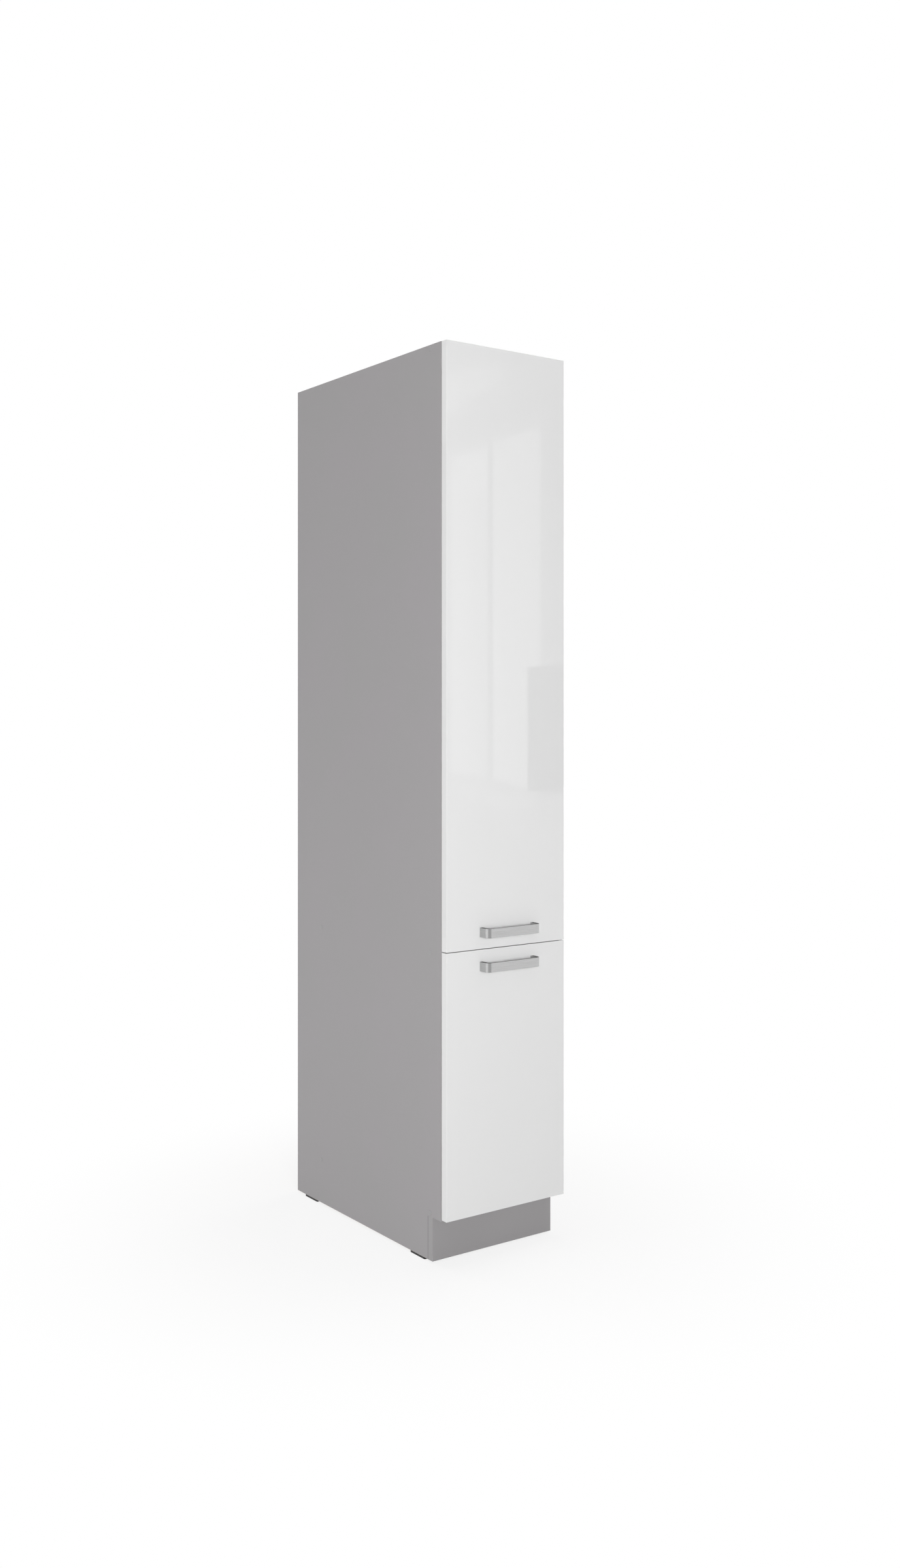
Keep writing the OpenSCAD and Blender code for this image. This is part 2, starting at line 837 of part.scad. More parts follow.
// Screws between a carrier's front plate and its front
module each_carrier_screw(level) {
    for (s = [-1, 1])
        translate([s * carrier_screw_x, inner_face_y + sheet,
                   carrier_z[level] + carrier_h / 2])
            rotate([-90, 0, 0]) children();
}

module front_brackets(level) {
    color("#bfc1c4")
    difference() {
        for (k = [0 : bracket_rows[level] - 1])
            translate([0, inner_face_y, bracket_at(level, k) - bracket_h / 2])
                linear_extrude(height = bracket_h) {
                    translate([-bracket_w / 2, 0]) square([bracket_w, sheet]);
                    for (s = [-1, 1])
                        translate([s * (tube_w + sheet) / 2 - sheet / 2, 0])
                            square([sheet, tube_d]);
                }
        each_plate_screw(level)
            cylinder(d = bracket_screw_dia + 2 * play, h = 4 * sheet, center = true);
        each_ear_screw(level)
            cylinder(d = bracket_screw_dia + 2 * play, h = 4 * sheet, center = true);
    }
}

// Screws from the brackets into the front
module each_plate_screw(level) {
    for (k = [0 : bracket_rows[level] - 1], s = [-1, 1])
        translate([s * bracket_screw_x, inner_face_y + sheet, bracket_at(level, k)])
            rotate([-90, 0, 0]) children();
}

// Screws from the brackets' ears into the front upright
module each_ear_screw(level) {
    for (k = [0 : bracket_rows[level] - 1], s = [-1, 1])
        translate([s * (tube_w / 2 + sheet), upright_front_y + tube_d / 2,
                   bracket_at(level, k)])
            rotate([0, s * 90, 0]) children();
}

// Every screw that goes into a front from behind
module each_bracket_screw(level) {
    each_plate_screw(level) children();
    each_carrier_screw(level) children();
}

module frame_screws(level) {
    color("#d6d6d8") {
        each_handle_screw(level)
            translate([0, 0, -front_t])
                mirror([0, 0, 1])
                    round_screw(handle_screw_dia, handle_screw_head, handle_head_h,
                                front_t + handle_screw_deep);
        each_bracket_screw(level)
            round_screw(bracket_screw_dia, bracket_screw_head, bracket_head_h,
                        bracket_screw_len);
        each_ear_screw(level)
            round_screw(bracket_screw_dia, bracket_screw_head, bracket_head_h, ear_screw_len);
        for (side = [LEFT, RIGHT])
            each_frame_screw(side, level)
                round_screw(runner_screw_dia, frame_screw_head, frame_screw_head_h,
                            sheet + runner_sheet + frame_screw_past);
    }
}

// ---------------------------------------------------------------- trays

// Places of the posts of a gallery, on the rim of its tray
module each_post() {
    rail_x = tray_w / 2 - rail_inset;
    rail_end = tray_d / 2 - rail_inset;
    for (s = [-1, 1]) {
        for (y = [-1, 0, 1])
            translate([s * rail_x, y * (tray_d / 2 - tray_r - post_from_corner), 0]) children();
        for (x = [-1, 1])
            translate([x * (tray_w / 2 - tray_r - post_from_corner), s * rail_end, 0])
                children();
    }
}

module tray(level, k) {
    color("#e6e6e5")
    translate([0, tray_mid, tray_z(level, k)])
        difference() {
            linear_extrude(height = tray_t) round_rect(tray_w, tray_d, tray_r);
            translate([0, 0, tray_t - tray_dish])
                linear_extrude(height = tray_dish + CUT)
                    round_rect(tray_w - 2 * rim_w, tray_d - 2 * rim_w, tray_r - rim_w / 2);
            each_post()
                translate([0, 0, tray_t - post_deep - play])
                    cylinder(d = post_dia + 2 * play, h = post_deep + play + CUT);
        }
}

// Closed rail of wire with round corners, lying level
module rail_loop(w, d, r) {
    for (s = [-1, 1]) {
        translate([s * w / 2, 0, 0])
            rotate([90, 0, 0]) cylinder(d = rail_dia, h = d - 2 * r, center = true);
        translate([0, s * d / 2, 0])
            rotate([0, 90, 0]) cylinder(d = rail_dia, h = w - 2 * r, center = true);
    }
    for (turn = [0, 1, 2, 3]) {
        sx = turn == 0 || turn == 3 ? 1 : -1;
        sy = turn < 2 ? 1 : -1;
        translate([sx * (w / 2 - r), sy * (d / 2 - r), 0])
            rotate([0, 0, 90 * turn])
                rotate_extrude(angle = 90) translate([r, 0]) circle(d = rail_dia);
    }
}

// Hook plate at one end of a tray, with two tongues that hang in the upright's slots
module hook_plate() {
    along_x(hook_w)
        polygon([[0, -hook_t], [hook_under, -hook_t], [hook_under, 0],
                 [hook_t, 0], [hook_t, hook_up], [0, hook_up]]);
    for (s = [-1, 1])
        translate([s * hook_x, 0, 0])
            along_x(tongue_t)
                polygon([[0, tongue_throat], [0, tongue_high],
                         [-tube_wall - slot_play - hook_t, tongue_high],
                         [-tube_wall - slot_play - hook_t, tongue_low],
                         [-tube_wall - slot_play, tongue_low],
                         [-tube_wall - slot_play, tongue_throat]]);
}

module gallery(level, k) {
    w = tray_w - 2 * rail_inset;
    d = tray_d - 2 * rail_inset;
    r = tray_r - rail_inset;
    z = tray_z(level, k);
    color("#d4d7da") {
        translate([0, tray_mid, z + tray_t]) {
            translate([0, 0, rail_low]) rail_loop(w, d, r);
            translate([0, 0, rail_high]) rail_loop(w, d, r);
            each_post()
                translate([0, 0, -post_deep]) cylinder(d = post_dia, h = rail_high + post_deep);
        }
        translate([0, upright_front_y + tube_d, z]) hook_plate();
        translate([0, upright_rear_y - tube_d, z]) mirror([0, 1, 0]) hook_plate();
    }
}

// ---------------------------------------------------------------- top guide

// Screws of the guide rail, heads inside the rail
module each_rail_screw() {
    for (y = rail_screw_at)
        translate([0, rail_y + y, top_z - rail_t]) children();
}

module guide_rail() {
    mid_x = (rail_w - rail_t) / 2;
    color("#c7cacd")
    difference() {
        along_y(rail_y, rail_len)
            strip([[-mid_x, top_z - rail_h], [-mid_x, top_z - rail_t / 2],
                   [mid_x, top_z - rail_t / 2], [mid_x, top_z - rail_h]], rail_t);
        each_rail_screw() small_screw(play);
    }
}

module guide_pin() {
    color("#cfd1d4")
    translate([0, roller_y, 0])
        rotate_extrude()
            polygon([[0, beam_top[UPPER]], [collar_dia / 2, beam_top[UPPER]],
                     [collar_dia / 2, roller_z - roller_end], [pin_dia / 2, roller_z - roller_end],
                     [pin_dia / 2, roller_z + roller_h + roller_end],
                     [collar_dia / 2, roller_z + roller_h + roller_end],
                     [collar_dia / 2, roller_z + roller_h + roller_end + pin_head_h],
                     [0, roller_z + roller_h + roller_end + pin_head_h]]);
}

module guide_roller() {
    edge = 1;
    r = roller_dia / 2;
    bore = pin_dia / 2 + bore_play;
    color("#f0f0ee")
    translate([0, roller_y, roller_z])
        rotate_extrude()
            polygon([[bore, 0], [r - edge, 0], [r, edge], [r, roller_h - edge],
                     [r - edge, roller_h], [bore, roller_h]]);
}

// ---------------------------------------------------------------- the unit

side_panel(LEFT);  // side_panel_left
side_panel(RIGHT);  // side_panel_right
cross_board(top_z);  // top_board
cross_board(shelf_z);  // middle_board
cross_board(bottom_z);  // bottom_board
back_panel();
plinth_board();
floor_glides();
cover_caps();
carcase_screws();
carcase_brackets();
guide_rail();
outer_runner(LEFT, UPPER);  // upper_left_outer_runner
outer_runner(RIGHT, UPPER);  // upper_right_outer_runner
outer_runner(LEFT, LOWER);  // lower_left_outer_runner
outer_runner(RIGHT, LOWER);  // lower_right_outer_runner
runner_screws();
middle_runner(LEFT, UPPER);  // upper_left_middle_runner
middle_runner(RIGHT, UPPER);  // upper_right_middle_runner
middle_runner(LEFT, LOWER);  // lower_left_middle_runner
middle_runner(RIGHT, LOWER);  // lower_right_middle_runner
outer_ball_cages(UPPER);  // upper_outer_ball_cages
inner_ball_cages(UPPER);  // upper_inner_ball_cages
outer_ball_cages(LOWER);  // lower_outer_ball_cages
inner_ball_cages(LOWER);  // lower_inner_ball_cages
front(UPPER);  // upper_front
handle(UPPER);  // upper_handle
front_brackets(UPPER);  // upper_front_brackets
carrier(UPPER);  // upper_carrier
front_upright(UPPER);  // upper_front_upright
rear_upright(UPPER);  // upper_rear_upright
beam(UPPER);  // upper_beam
inner_runner(LEFT, UPPER);  // upper_left_inner_runner
inner_runner(RIGHT, UPPER);  // upper_right_inner_runner
frame_screws(UPPER);  // upper_screws
tray(UPPER, 1);  // upper_tray_1
tray(UPPER, 2);  // upper_tray_2
tray(UPPER, 3);  // upper_tray_3
tray(UPPER, 4);  // upper_tray_4
gallery(UPPER, 1);  // upper_gallery_1
gallery(UPPER, 2);  // upper_gallery_2
gallery(UPPER, 3);  // upper_gallery_3
gallery(UPPER, 4);  // upper_gallery_4
guide_pin();
guide_roller();
front(LOWER);  // lower_front
handle(LOWER);  // lower_handle
front_brackets(LOWER);  // lower_front_brackets
carrier(LOWER);  // lower_carrier
front_upright(LOWER);  // lower_front_upright
rear_upright(LOWER);  // lower_rear_upright
beam(LOWER);  // lower_beam
inner_runner(LEFT, LOWER);  // lower_left_inner_runner
inner_runner(RIGHT, LOWER);  // lower_right_inner_runner
frame_screws(LOWER);  // lower_screws
tray(LOWER, 1);  // lower_tray_1
tray(LOWER, 2);  // lower_tray_2
gallery(LOWER, 1);  // lower_gallery_1
gallery(LOWER, 2);  // lower_gallery_2
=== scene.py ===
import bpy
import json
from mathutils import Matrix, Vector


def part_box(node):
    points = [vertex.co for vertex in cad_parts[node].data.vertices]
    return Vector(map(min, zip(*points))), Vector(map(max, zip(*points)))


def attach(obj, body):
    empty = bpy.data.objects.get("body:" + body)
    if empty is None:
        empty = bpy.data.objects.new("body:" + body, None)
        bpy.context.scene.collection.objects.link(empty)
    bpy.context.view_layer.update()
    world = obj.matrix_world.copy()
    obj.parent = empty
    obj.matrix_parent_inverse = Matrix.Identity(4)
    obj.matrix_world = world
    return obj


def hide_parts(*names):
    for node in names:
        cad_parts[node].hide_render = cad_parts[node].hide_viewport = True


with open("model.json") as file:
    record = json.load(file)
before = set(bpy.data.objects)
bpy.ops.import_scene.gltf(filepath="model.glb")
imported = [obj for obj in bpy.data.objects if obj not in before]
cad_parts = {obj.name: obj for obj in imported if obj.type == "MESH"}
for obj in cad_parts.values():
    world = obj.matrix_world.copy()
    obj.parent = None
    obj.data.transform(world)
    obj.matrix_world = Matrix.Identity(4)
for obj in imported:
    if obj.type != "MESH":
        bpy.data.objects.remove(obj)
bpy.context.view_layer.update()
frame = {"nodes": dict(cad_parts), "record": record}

# Pull out larder unit: the finish of every CAD node, the small fittings that are
# modelled here, and the studio and camera. Lengths are metres in the CAD frame: X
# runs to the right, Y to the back and Z up, from the floor.

import json
import logging
import math
from contextlib import contextmanager
from dataclasses import dataclass
from enum import Enum
from functools import cached_property
from typing import Callable, Iterable, Iterator

import bmesh
import bpy
from mathutils import Euler, Matrix, Vector

LOG = logging.getLogger("larder")
MM = 0.001
MERGE_DISTANCE = 1e-6
SMOOTH_ANGLE = math.radians(35)
FACE_DEPTH = 0.1 * MM  # a point this near to a panel's end counts as lying on its face
FACING = 0.9  # share of a face's normal along an axis from which the face looks that way

Colour = tuple[float, float, float, float]
Point = tuple[float, float, float]
Span = tuple[float, float]
Piece = bpy.types.Object
Socket = bpy.types.NodeSocket
Paint = str | Colour | Socket
Surface = dict[str, Socket | Point | float]

# Inputs of a Mix node for its two numbers and its two colours, and its output for colours
FIRST_NUMBER = 2
SECOND_NUMBER = 3
FIRST_COLOUR = 6
SECOND_COLOUR = 7
MIXED_COLOUR = 2
# The middle of a noise's range, which holds most of it
MOST_NOISE = {"From Min": 0.3, "From Max": 0.7}


class Level(Enum):
    """The two pull-outs, one above the other."""

    UPPER = "upper"
    LOWER = "lower"

    @property
    def body(self) -> str:
        """CAD body that the level's frame and front belong to."""
        return f"{self.value}_pullout"


class Axis(Enum):
    """An axis of the CAD frame, with its number."""

    X = 0
    Y = 1
    Z = 2


class Element(Enum):
    """A kind of mesh element, with Blender's name for it and for a mesh's list of them."""

    CORNER = ("VERT", "verts")
    EDGE = ("EDGE", "edges")
    FACE = ("FACE", "faces")


# ------------ shader nodes


def linear(code: str) -> Colour:
    """Turn an sRGB colour into the linear one that shaders take.

    Args:
        code: Six hex digits, such as "a2a1a2".

    Returns:
        Red, green, blue and an alpha of one.
    """
    channels = [int(code[i : i + 2], 16) / 255 for i in (0, 2, 4)]
    lit = [c / 12.92 if c <= 0.04045 else ((c + 0.055) / 1.055) ** 2.4 for c in channels]
    return (lit[0], lit[1], lit[2], 1.0)


def per_metre(sizes_mm: Point) -> Vector:
    """Return how many features of a size, along X, Y and Z, go into a metre."""
    return Vector(1 / (size * MM) for size in sizes_mm)


@dataclass
class Nodes:
    """The shader nodes of one material or world, and the patterns that finishes use."""

    owner: bpy.types.Material | bpy.types.World

    def __post_init__(self) -> None:
        """Switch the owner's nodes on, and start without any."""
        self.owner.use_nodes = True
        self.owner.node_tree.nodes.clear()

    def add(self, kind: str, settings: dict | None = None) -> bpy.types.NodeOutputs:
        """Add a node with its settings and links.

        Args:
            kind: Blender's name for the node, without "ShaderNode".
            settings: What the node's properties, by name, and its inputs, by name or
                number, get. An output socket is linked; an input's colour may be its code.

        Returns:
            The node's outputs.
        """
        tree = self.owner.node_tree
        node = tree.nodes.new("ShaderNode" + kind)
        for name, value in (settings or {}).items():
            if isinstance(value, Socket):
                tree.links.new(value, node.inputs[name])
            elif isinstance(name, str) and hasattr(node, name):
                setattr(node, name, value)
            else:
                node.inputs[name].default_value = linear(value) if isinstance(value, str) else value
        return node.outputs

    @cached_property
    def place(self) -> Socket:
        """Object coordinates, in metres."""
        return self.add("TexCoord")["Object"]

    def grain(self, sizes_mm: Point, detail: float = 2.0) -> Socket:
        """Draw an uneven pattern with features of a real size.

        Args:
            sizes_mm: Size of a feature along X, Y and Z.
            detail: Octaves of finer noise.

        Returns:
            Noise from 0 to 1.
        """
        spot = self.add("Mapping", {"Scale": per_metre(sizes_mm), "Vector": self.place})[0]
        return self.add("TexNoise", {"Scale": 1.0, "Detail": detail, "Vector": spot})[0]

    def cells(self, sizes_mm: Point) -> Socket:
        """Draw flat cells of a real size, such as chips or flakes.

        Args:
            sizes_mm: Size of a cell along X, Y and Z.

        Returns:
            A chance number from 0 to 1 for each cell.
        """
        spot = self.add("Mapping", {"Scale": per_metre(sizes_mm), "Vector": self.place})[0]
        mosaic = self.add("TexVoronoi", {"Scale": 1.0, "Randomness": 1.0, "Vector": spot})
        return self.add("SeparateXYZ", {"Vector": mosaic["Color"]})[0]

    def past(self, axis: Axis, limit: float) -> Socket:
        """Mask what lies past a plane.

        Args:
            axis: The axis that crosses the plane.
            limit: Where it does, in metres.

        Returns:
            1 past the plane, and 0 before it.
        """
        along = self.add("SeparateXYZ", {"Vector": self.place})[axis.value]
        return self.add("Math", {"operation": "GREATER_THAN", 0: along, 1: limit})[0]

    def beyond(self, vector: Socket, axis: Axis, reach: float) -> Socket:
        """Mask both ends of a range that is centred on zero.

        Args:
            vector: The place, or a direction such as the normal.
            axis: The axis that the range lies along.
            reach: Distance from zero at which the ends start.

        Returns:
            1 on the ends, and 0 between them.
        """
        along = self.add("SeparateXYZ", {"Vector": vector})[axis.value]
        size = self.add("Math", {"operation": "ABSOLUTE", 0: along})[0]
        return self.add("Math", {"operation": "GREATER_THAN", 0: size, 1: reach})[0]

    def layered(self, base: Paint, *layers: tuple[Socket, Paint]) -> Socket:
        """Lay colours over a base, one after the other.

        Args:
            base: The lowest colour.
            layers: For each colour over it, a mask that is 1 where it shows, and the colour.

        Returns:
            The colour that shows.
        """
        for mask, colour in layers:
            mix = {"data_type": "RGBA", 0: mask, FIRST_COLOUR: base, SECOND_COLOUR: colour}
            base = self.add("Mix", mix)[MIXED_COLOUR]
        return base

    def mottled(self, pattern: Socket, first: Paint, second: Paint, most: float = 1.0) -> Socket:
        """Blend two colours over a noise pattern.

        Args:
            pattern: Noise from 0 to 1.
            first: The colour where the noise is low.
            second: The colour where it is high.
            most: Largest share of the second colour.

        Returns:
            The blended colour.
        """
        limits = {**MOST_NOISE, "To Min": 0.0, "To Max": most, "Value": pattern}
        share = self.add("MapRange", limits)[0]
        return self.layered(first, (share, second))

    def seen_directly(self) -> Socket:
        """Mask the rays of the camera, of mirrors and of glass.

        Returns:
            1 for those rays, and 0 for rays that light things.
        """
        rays = self.add("LightPath")
        seen = rays["Is Camera Ray"]
        for name in ("Is Glossy Ray", "Is Transmission Ray"):
            seen = self.add("Math", {"operation": "MAXIMUM", 0: seen, 1: rays[name]})[0]
        return seen


# ------------ finishes


@dataclass(frozen=True, kw_only=True)
class Finish:
    """A surface finish: one procedural material on Object coordinates.

    A fine texture sets the roughness, from smooth to rough, and stands out by a height.
    Slow clouds of a second colour lie over the first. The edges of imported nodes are
    eased, unless their radius is zero.
    """

    name: str
    colour: str
    smooth: float
    rough: float
    texture_mm: Point
    detail: float = 2.0
    height_mm: float
    metallic: float = 0.0
    cloud: str = ""
    cloud_mm: Point = (45, 45, 45)
    cloud_detail: float = 2.0
    cloud_share: float = 1.0
    eased_mm: float = 0.0

    def material(self) -> bpy.types.Material:
        """Make the material once: a Principled shader with the finish's surface.

        Returns:
            The material.
        """
        if self.name not in bpy.data.materials:
            nodes = Nodes(bpy.data.materials.new(self.name))
            shader = nodes.add("BsdfPrincipled", self.surface(nodes))[0]
            nodes.add("OutputMaterial", {"Surface": shader})
        return bpy.data.materials[self.name]

    def surface(self, nodes: Nodes) -> Surface:
        """Work out the shader's inputs.

        Args:
            nodes: The material's nodes.

        Returns:
            A value or an output socket for each input, by name.
        """
        texture = nodes.grain(self.texture_mm, self.detail)
        bump = {"Distance": self.height_mm * MM, "Strength": 1.0, "Height": texture}
        return {
            "Base Color": self.shade(nodes, texture),
            "Metallic": self.metallic,
            "Roughness": self.roughness(nodes, texture),
            "Normal": nodes.add("Bump", bump)[0],
        }

    def shade(self, nodes: Nodes, texture: Socket) -> Socket:
        """Return the clouded colour, without the texture; some finishes add to it."""
        clouds = nodes.grain(self.cloud_mm, self.cloud_detail)
        return nodes.mottled(clouds, self.colour, self.cloud, self.cloud_share)

    def roughness(self, nodes: Nodes, texture: Socket) -> Socket:
        """Return the roughness, spread over the texture."""
        limits = {**MOST_NOISE, "To Min": self.smooth, "To Max": self.rough, "Value": texture}
        return nodes.add("MapRange", limits)[0]


@dataclass(frozen=True, kw_only=True)
class PressedBoard(Finish):
    """Chipboard faced with melamine in a press: a matt, even skin with shallow pearls,
    on a printed paper with the faintest clouds."""

    smooth: float = 0.42
    rough: float = 0.52
    texture_mm: Point = (1.6, 1.6, 1.6)  # real pearls are near 1 mm; larger, so that they show
    detail: float = 1.0
    height_mm: float = 0.03
    cloud_mm: Point = (140, 140, 140)
    cloud_detail: float = 1.0
    eased_mm: float = 0.4


@dataclass(frozen=True, kw_only=True)
class CarcaseBoard(PressedBoard):
    """The carcase's pressed board: banded front edges, whose joint is a hairline, and
    raw tan chips where a panel is sawn, at the rear and below."""

    band_front: float
    band_mm: float = 0.8
    joint: str = "7b7a7b"
    joint_mm: float = 0.25
    raw_rear: float
    raw_below: float
    chips: tuple[str, ...] = ("8a6a45", "b8945f", "cdae7c", "dcc598")
    chip_stops: tuple[float, ...] = (0.0, 0.35, 0.7, 1.0)
    chip_mm: Point = (4.5, 4.5, 2.2)
    fibre: str = "6d5234"
    fibre_mm: Point = (6, 6, 0.8)
    fibre_detail: float = 4.0
    fibre_share: float = 0.35

    def shade(self, nodes: Nodes, texture: Socket) -> Socket:
        """Lay the band's joint and the sawn edges over the face.

        Args:
            nodes: The material's nodes.
            texture: The pearls, from 0 to 1.

        Returns:
            The colour.
        """
        band_end = self.band_front + self.band_mm * MM
        behind = nodes.past(Axis.Y, band_end)
        over = nodes.past(Axis.Y, band_end + self.joint_mm * MM)
        joint = nodes.add("Math", {"operation": "SUBTRACT", 0: behind, 1: over})[0]
        rear = nodes.past(Axis.Y, self.raw_rear)
        above = nodes.past(Axis.Z, self.raw_below)
        below = nodes.add("Math", {"operation": "SUBTRACT", 0: 1.0, 1: above})[0]
        raw = nodes.add("Math", {"operation": "MAXIMUM", 0: rear, 1: below})[0]
        face = super().shade(nodes, texture)
        return nodes.layered(face, (joint, self.joint), (raw, self.sawn(nodes)))

    def sawn(self, nodes: Nodes) -> Socket:
        """Draw sawn chipboard: flat chips, and darker fibres among them.

        Args:
            nodes: The material's nodes.

        Returns:
            The colour.
        """
        ramp = nodes.add("ValToRGB", {"Fac": nodes.cells(self.chip_mm)})["Color"]
        stops = ramp.node.color_ramp.elements
        while len(stops) < len(self.chips):
            stops.new(0.5)
        for stop, code, position in zip(stops, self.chips, self.chip_stops):
            stop.position = position
            stop.color = linear(code)
        fibres = nodes.grain(self.fibre_mm, self.fibre_detail)
        return nodes.mottled(fibres, ramp, self.fibre, self.fibre_share)


@dataclass(frozen=True, kw_only=True)
class PlinthBoard(PressedBoard):
    """The plinth's pressed board: a matt face, ends banded in the side panels' grey,
    and a painted shadow in the seam where each end meets its panel."""

    end: str
    end_beyond: float
    # Near black: a painted shadow in the gap where the end meets its panel
    seam_shadow: str = "262526"
    seam_shadow_from: float

    def shade(self, nodes: Nodes, texture: Socket) -> Socket:
        """Lay the ends' bands and the painted shadows of their seams over the face.

        Args:
            nodes: The material's nodes.
            texture: The pearls, from 0 to 1.

        Returns:
            The colour.
        """
        band = nodes.layered(self.end, (nodes.past(Axis.Y, self.seam_shadow_from), self.seam_shadow))
        ends = nodes.beyond(nodes.place, Axis.X, self.end_beyond)
        return nodes.layered(super().shade(nodes, texture), (ends, band))


@dataclass(frozen=True, kw_only=True)
class HardboardSheet(Finish):
    """Hardboard, pressed from fibre: lacquered grey inside; raw, brown and felted
    behind, with darker clouds."""

    smooth: float = 0.45
    rough: float = 0.6
    texture_mm: Point = (2.2, 2.2, 2.2)
    detail: float = 5.0
    height_mm: float = 0.03
    raw_behind: float
    fibres: tuple[str, str] = ("7d5a3c", "9c7753")
    cloud: str = "5f432c"
    cloud_mm: Point = (60, 60, 60)
    cloud_detail: float = 3.0
    cloud_share: float = 0.3

    def shade(self, nodes: Nodes, texture: Socket) -> Socket:
        """Felt and cloud the raw side, behind the lacquered one.

        Args:
            nodes: The material's nodes.
            texture: The felt, from 0 to 1.

        Returns:
            The colour.
        """
        felt = nodes.mottled(texture, *self.fibres)
        clouds = nodes.grain(self.cloud_mm, self.cloud_detail)
        brown = nodes.mottled(clouds, felt, self.cloud, self.cloud_share)
        return nodes.layered(self.colour, (nodes.past(Axis.Y, self.raw_behind), brown))


@dataclass(frozen=True, kw_only=True)
class GlossFront(Finish):
    """Polyester lacquer on fibreboard, sprayed and polished: a clear, deep gloss with
    the faintest orange peel and a slow haze outside, and a satin white face behind."""

    smooth: float = 0.012
    rough: float = 0.03
    texture_mm: Point = (9, 9, 9)
    detail: float = 0.0
    height_mm: float = 0.0025
    haze_mm: Point = (90, 90, 90)
    # The side edges' colour is a painted highlight, lighter than the face
    edge: str
    edge_highlight_beyond: float
    satin: str = "dedddb"
    satin_behind: float
    satin_roughness: float = 0.4
    eased_mm: float = 0.3

    def shade(self, nodes: Nodes, texture: Socket) -> Socket:
        """Return the face's colour, under the side edges' painted highlight and the back."""
        edges = (nodes.beyond(nodes.place, Axis.X, self.edge_highlight_beyond), self.edge)
        return nodes.layered(self.colour, edges, (nodes.past(Axis.Y, self.satin_behind), self.satin))

    def roughness(self, nodes: Nodes, texture: Socket) -> Socket:
        """Spread the gloss over the haze, and dull the back.

        Args:
            nodes: The material's nodes.
            texture: Not used; the roughness follows the haze.

        Returns:
            The roughness.
        """
        satin = {0: nodes.past(Axis.Y, self.satin_behind), 1: self.satin_roughness}
        satin[2] = super().roughness(nodes, nodes.grain(self.haze_mm))
        return nodes.add("Math", {"operation": "MULTIPLY_ADD", **satin})[0]


@dataclass(frozen=True, kw_only=True)
class BrushedNickel(Finish):
    """Nickel plate on steel strip, brushed along its length: a soft grey metal with
    long hairlines on its faces, and rougher cut edges above and below with a painted dark
    reflection."""

    smooth: float = 0.16
    rough: float = 0.22
    texture_mm: Point = (60, 60, 1.1)  # real hairlines are finer; drawn so that they just show
    height_mm: float = 0.0008
    line: str
    edge_dark_reflection: str
    edge_steepness: float = 0.8
    edge_roughness: float = 0.35
    edge_sheen: float = 0.15
    eased_mm: float = 0.4

    def shade(self, nodes: Nodes, texture: Socket) -> Socket:
        """Return the plate's colour with its hairlines."""
        return nodes.mottled(texture, self.colour, self.line)

    def surface(self, nodes: Nodes) -> Surface:
        """Dull the cut edges, which face up or down, and paint a dark reflection on them.

        Args:
            nodes: The material's nodes.

        Returns:
            A value or an output socket for each input, by name.
        """
        plate = super().surface(nodes)
        normal = nodes.add("NewGeometry")["True Normal"]
        edge = nodes.beyond(normal, Axis.Z, self.edge_steepness)
        metal = {"operation": "SUBTRACT", 0: 1.0, 1: edge}
        dull = {"operation": "MULTIPLY_ADD", 0: edge, 1: self.edge_roughness}
        return plate | {
            # The edges' dark colour is a painted dark reflection
            "Base Color": nodes.layered(plate["Base Color"], (edge, self.edge_dark_reflection)),
            "Metallic": nodes.add("Math", metal)[0],
            "Roughness": nodes.add("Math", {**dull, 2: plate["Roughness"]})[0],
            "Specular IOR Level": self.edge_sheen,
        }


@dataclass(frozen=True, kw_only=True)
class BrightSteel(Finish):
    """Plated, rolled or ground steel: bright metal with fine lines from the roll or the
    wheel, drawn coarser so that they just show, and clouds where the plate is thicker."""

    metallic: float = 1.0
    cloud_mm: Point = (22, 22, 22)
    cloud_detail: float = 3.0


@dataclass(frozen=True, kw_only=True)
class PowderCoat(Finish):
    """Powder coat on steel, baked: silver grey with fine flakes and a close peel."""

    smooth: float = 0.34
    rough: float = 0.5
    texture_mm: Point = (1.2, 1.2, 1.2)
    detail: float = 1.0
    height_mm: float = 0.02
    metallic: float = 0.35
    flake: str
    flake_mm: Point = (0.4, 0.4, 0.4)  # real flakes are finer; drawn so that they just show
    flake_share: float = 0.14

    def shade(self, nodes: Nodes, texture: Socket) -> Socket:
        """Return the coat's colour with its flakes."""
        rare = {"operation": "GREATER_THAN", 0: nodes.cells(self.flake_mm), 1: 1 - self.flake_share}
        return nodes.layered(self.colour, (nodes.add("Math", rare)[0], self.flake))


@dataclass(frozen=True, kw_only=True)
class MouldedPlastic(Finish):
    """Injection-moulded plastic: an even colour, a little darker where the melt flowed,
    a fine spark-eroded skin, drawn coarser so that it just shows, and a trace of light
    inside where the plastic lets it in."""

    flow_shade: float = 0.93
    cloud_share: float = 0.6
    glow: float = 0.0
    glow_mm: Point = (1.0, 0.9, 0.8)

    def shade(self, nodes: Nodes, texture: Socket) -> Socket:
        """Return the colour, shaded where the melt flowed."""
        dark = tuple(self.flow_shade * channel for channel in linear(self.colour)[:3]) + (1.0,)
        return nodes.mottled(nodes.grain(self.cloud_mm), self.colour, dark, self.cloud_share)

    def surface(self, nodes: Nodes) -> Surface:
        """Return the shader's inputs, with the light inside."""
        depth = {"Subsurface Radius": tuple(d * MM for d in self.glow_mm), "Subsurface Scale": 1.0}
        return super().surface(nodes) | depth | {"Subsurface Weight": self.glow}


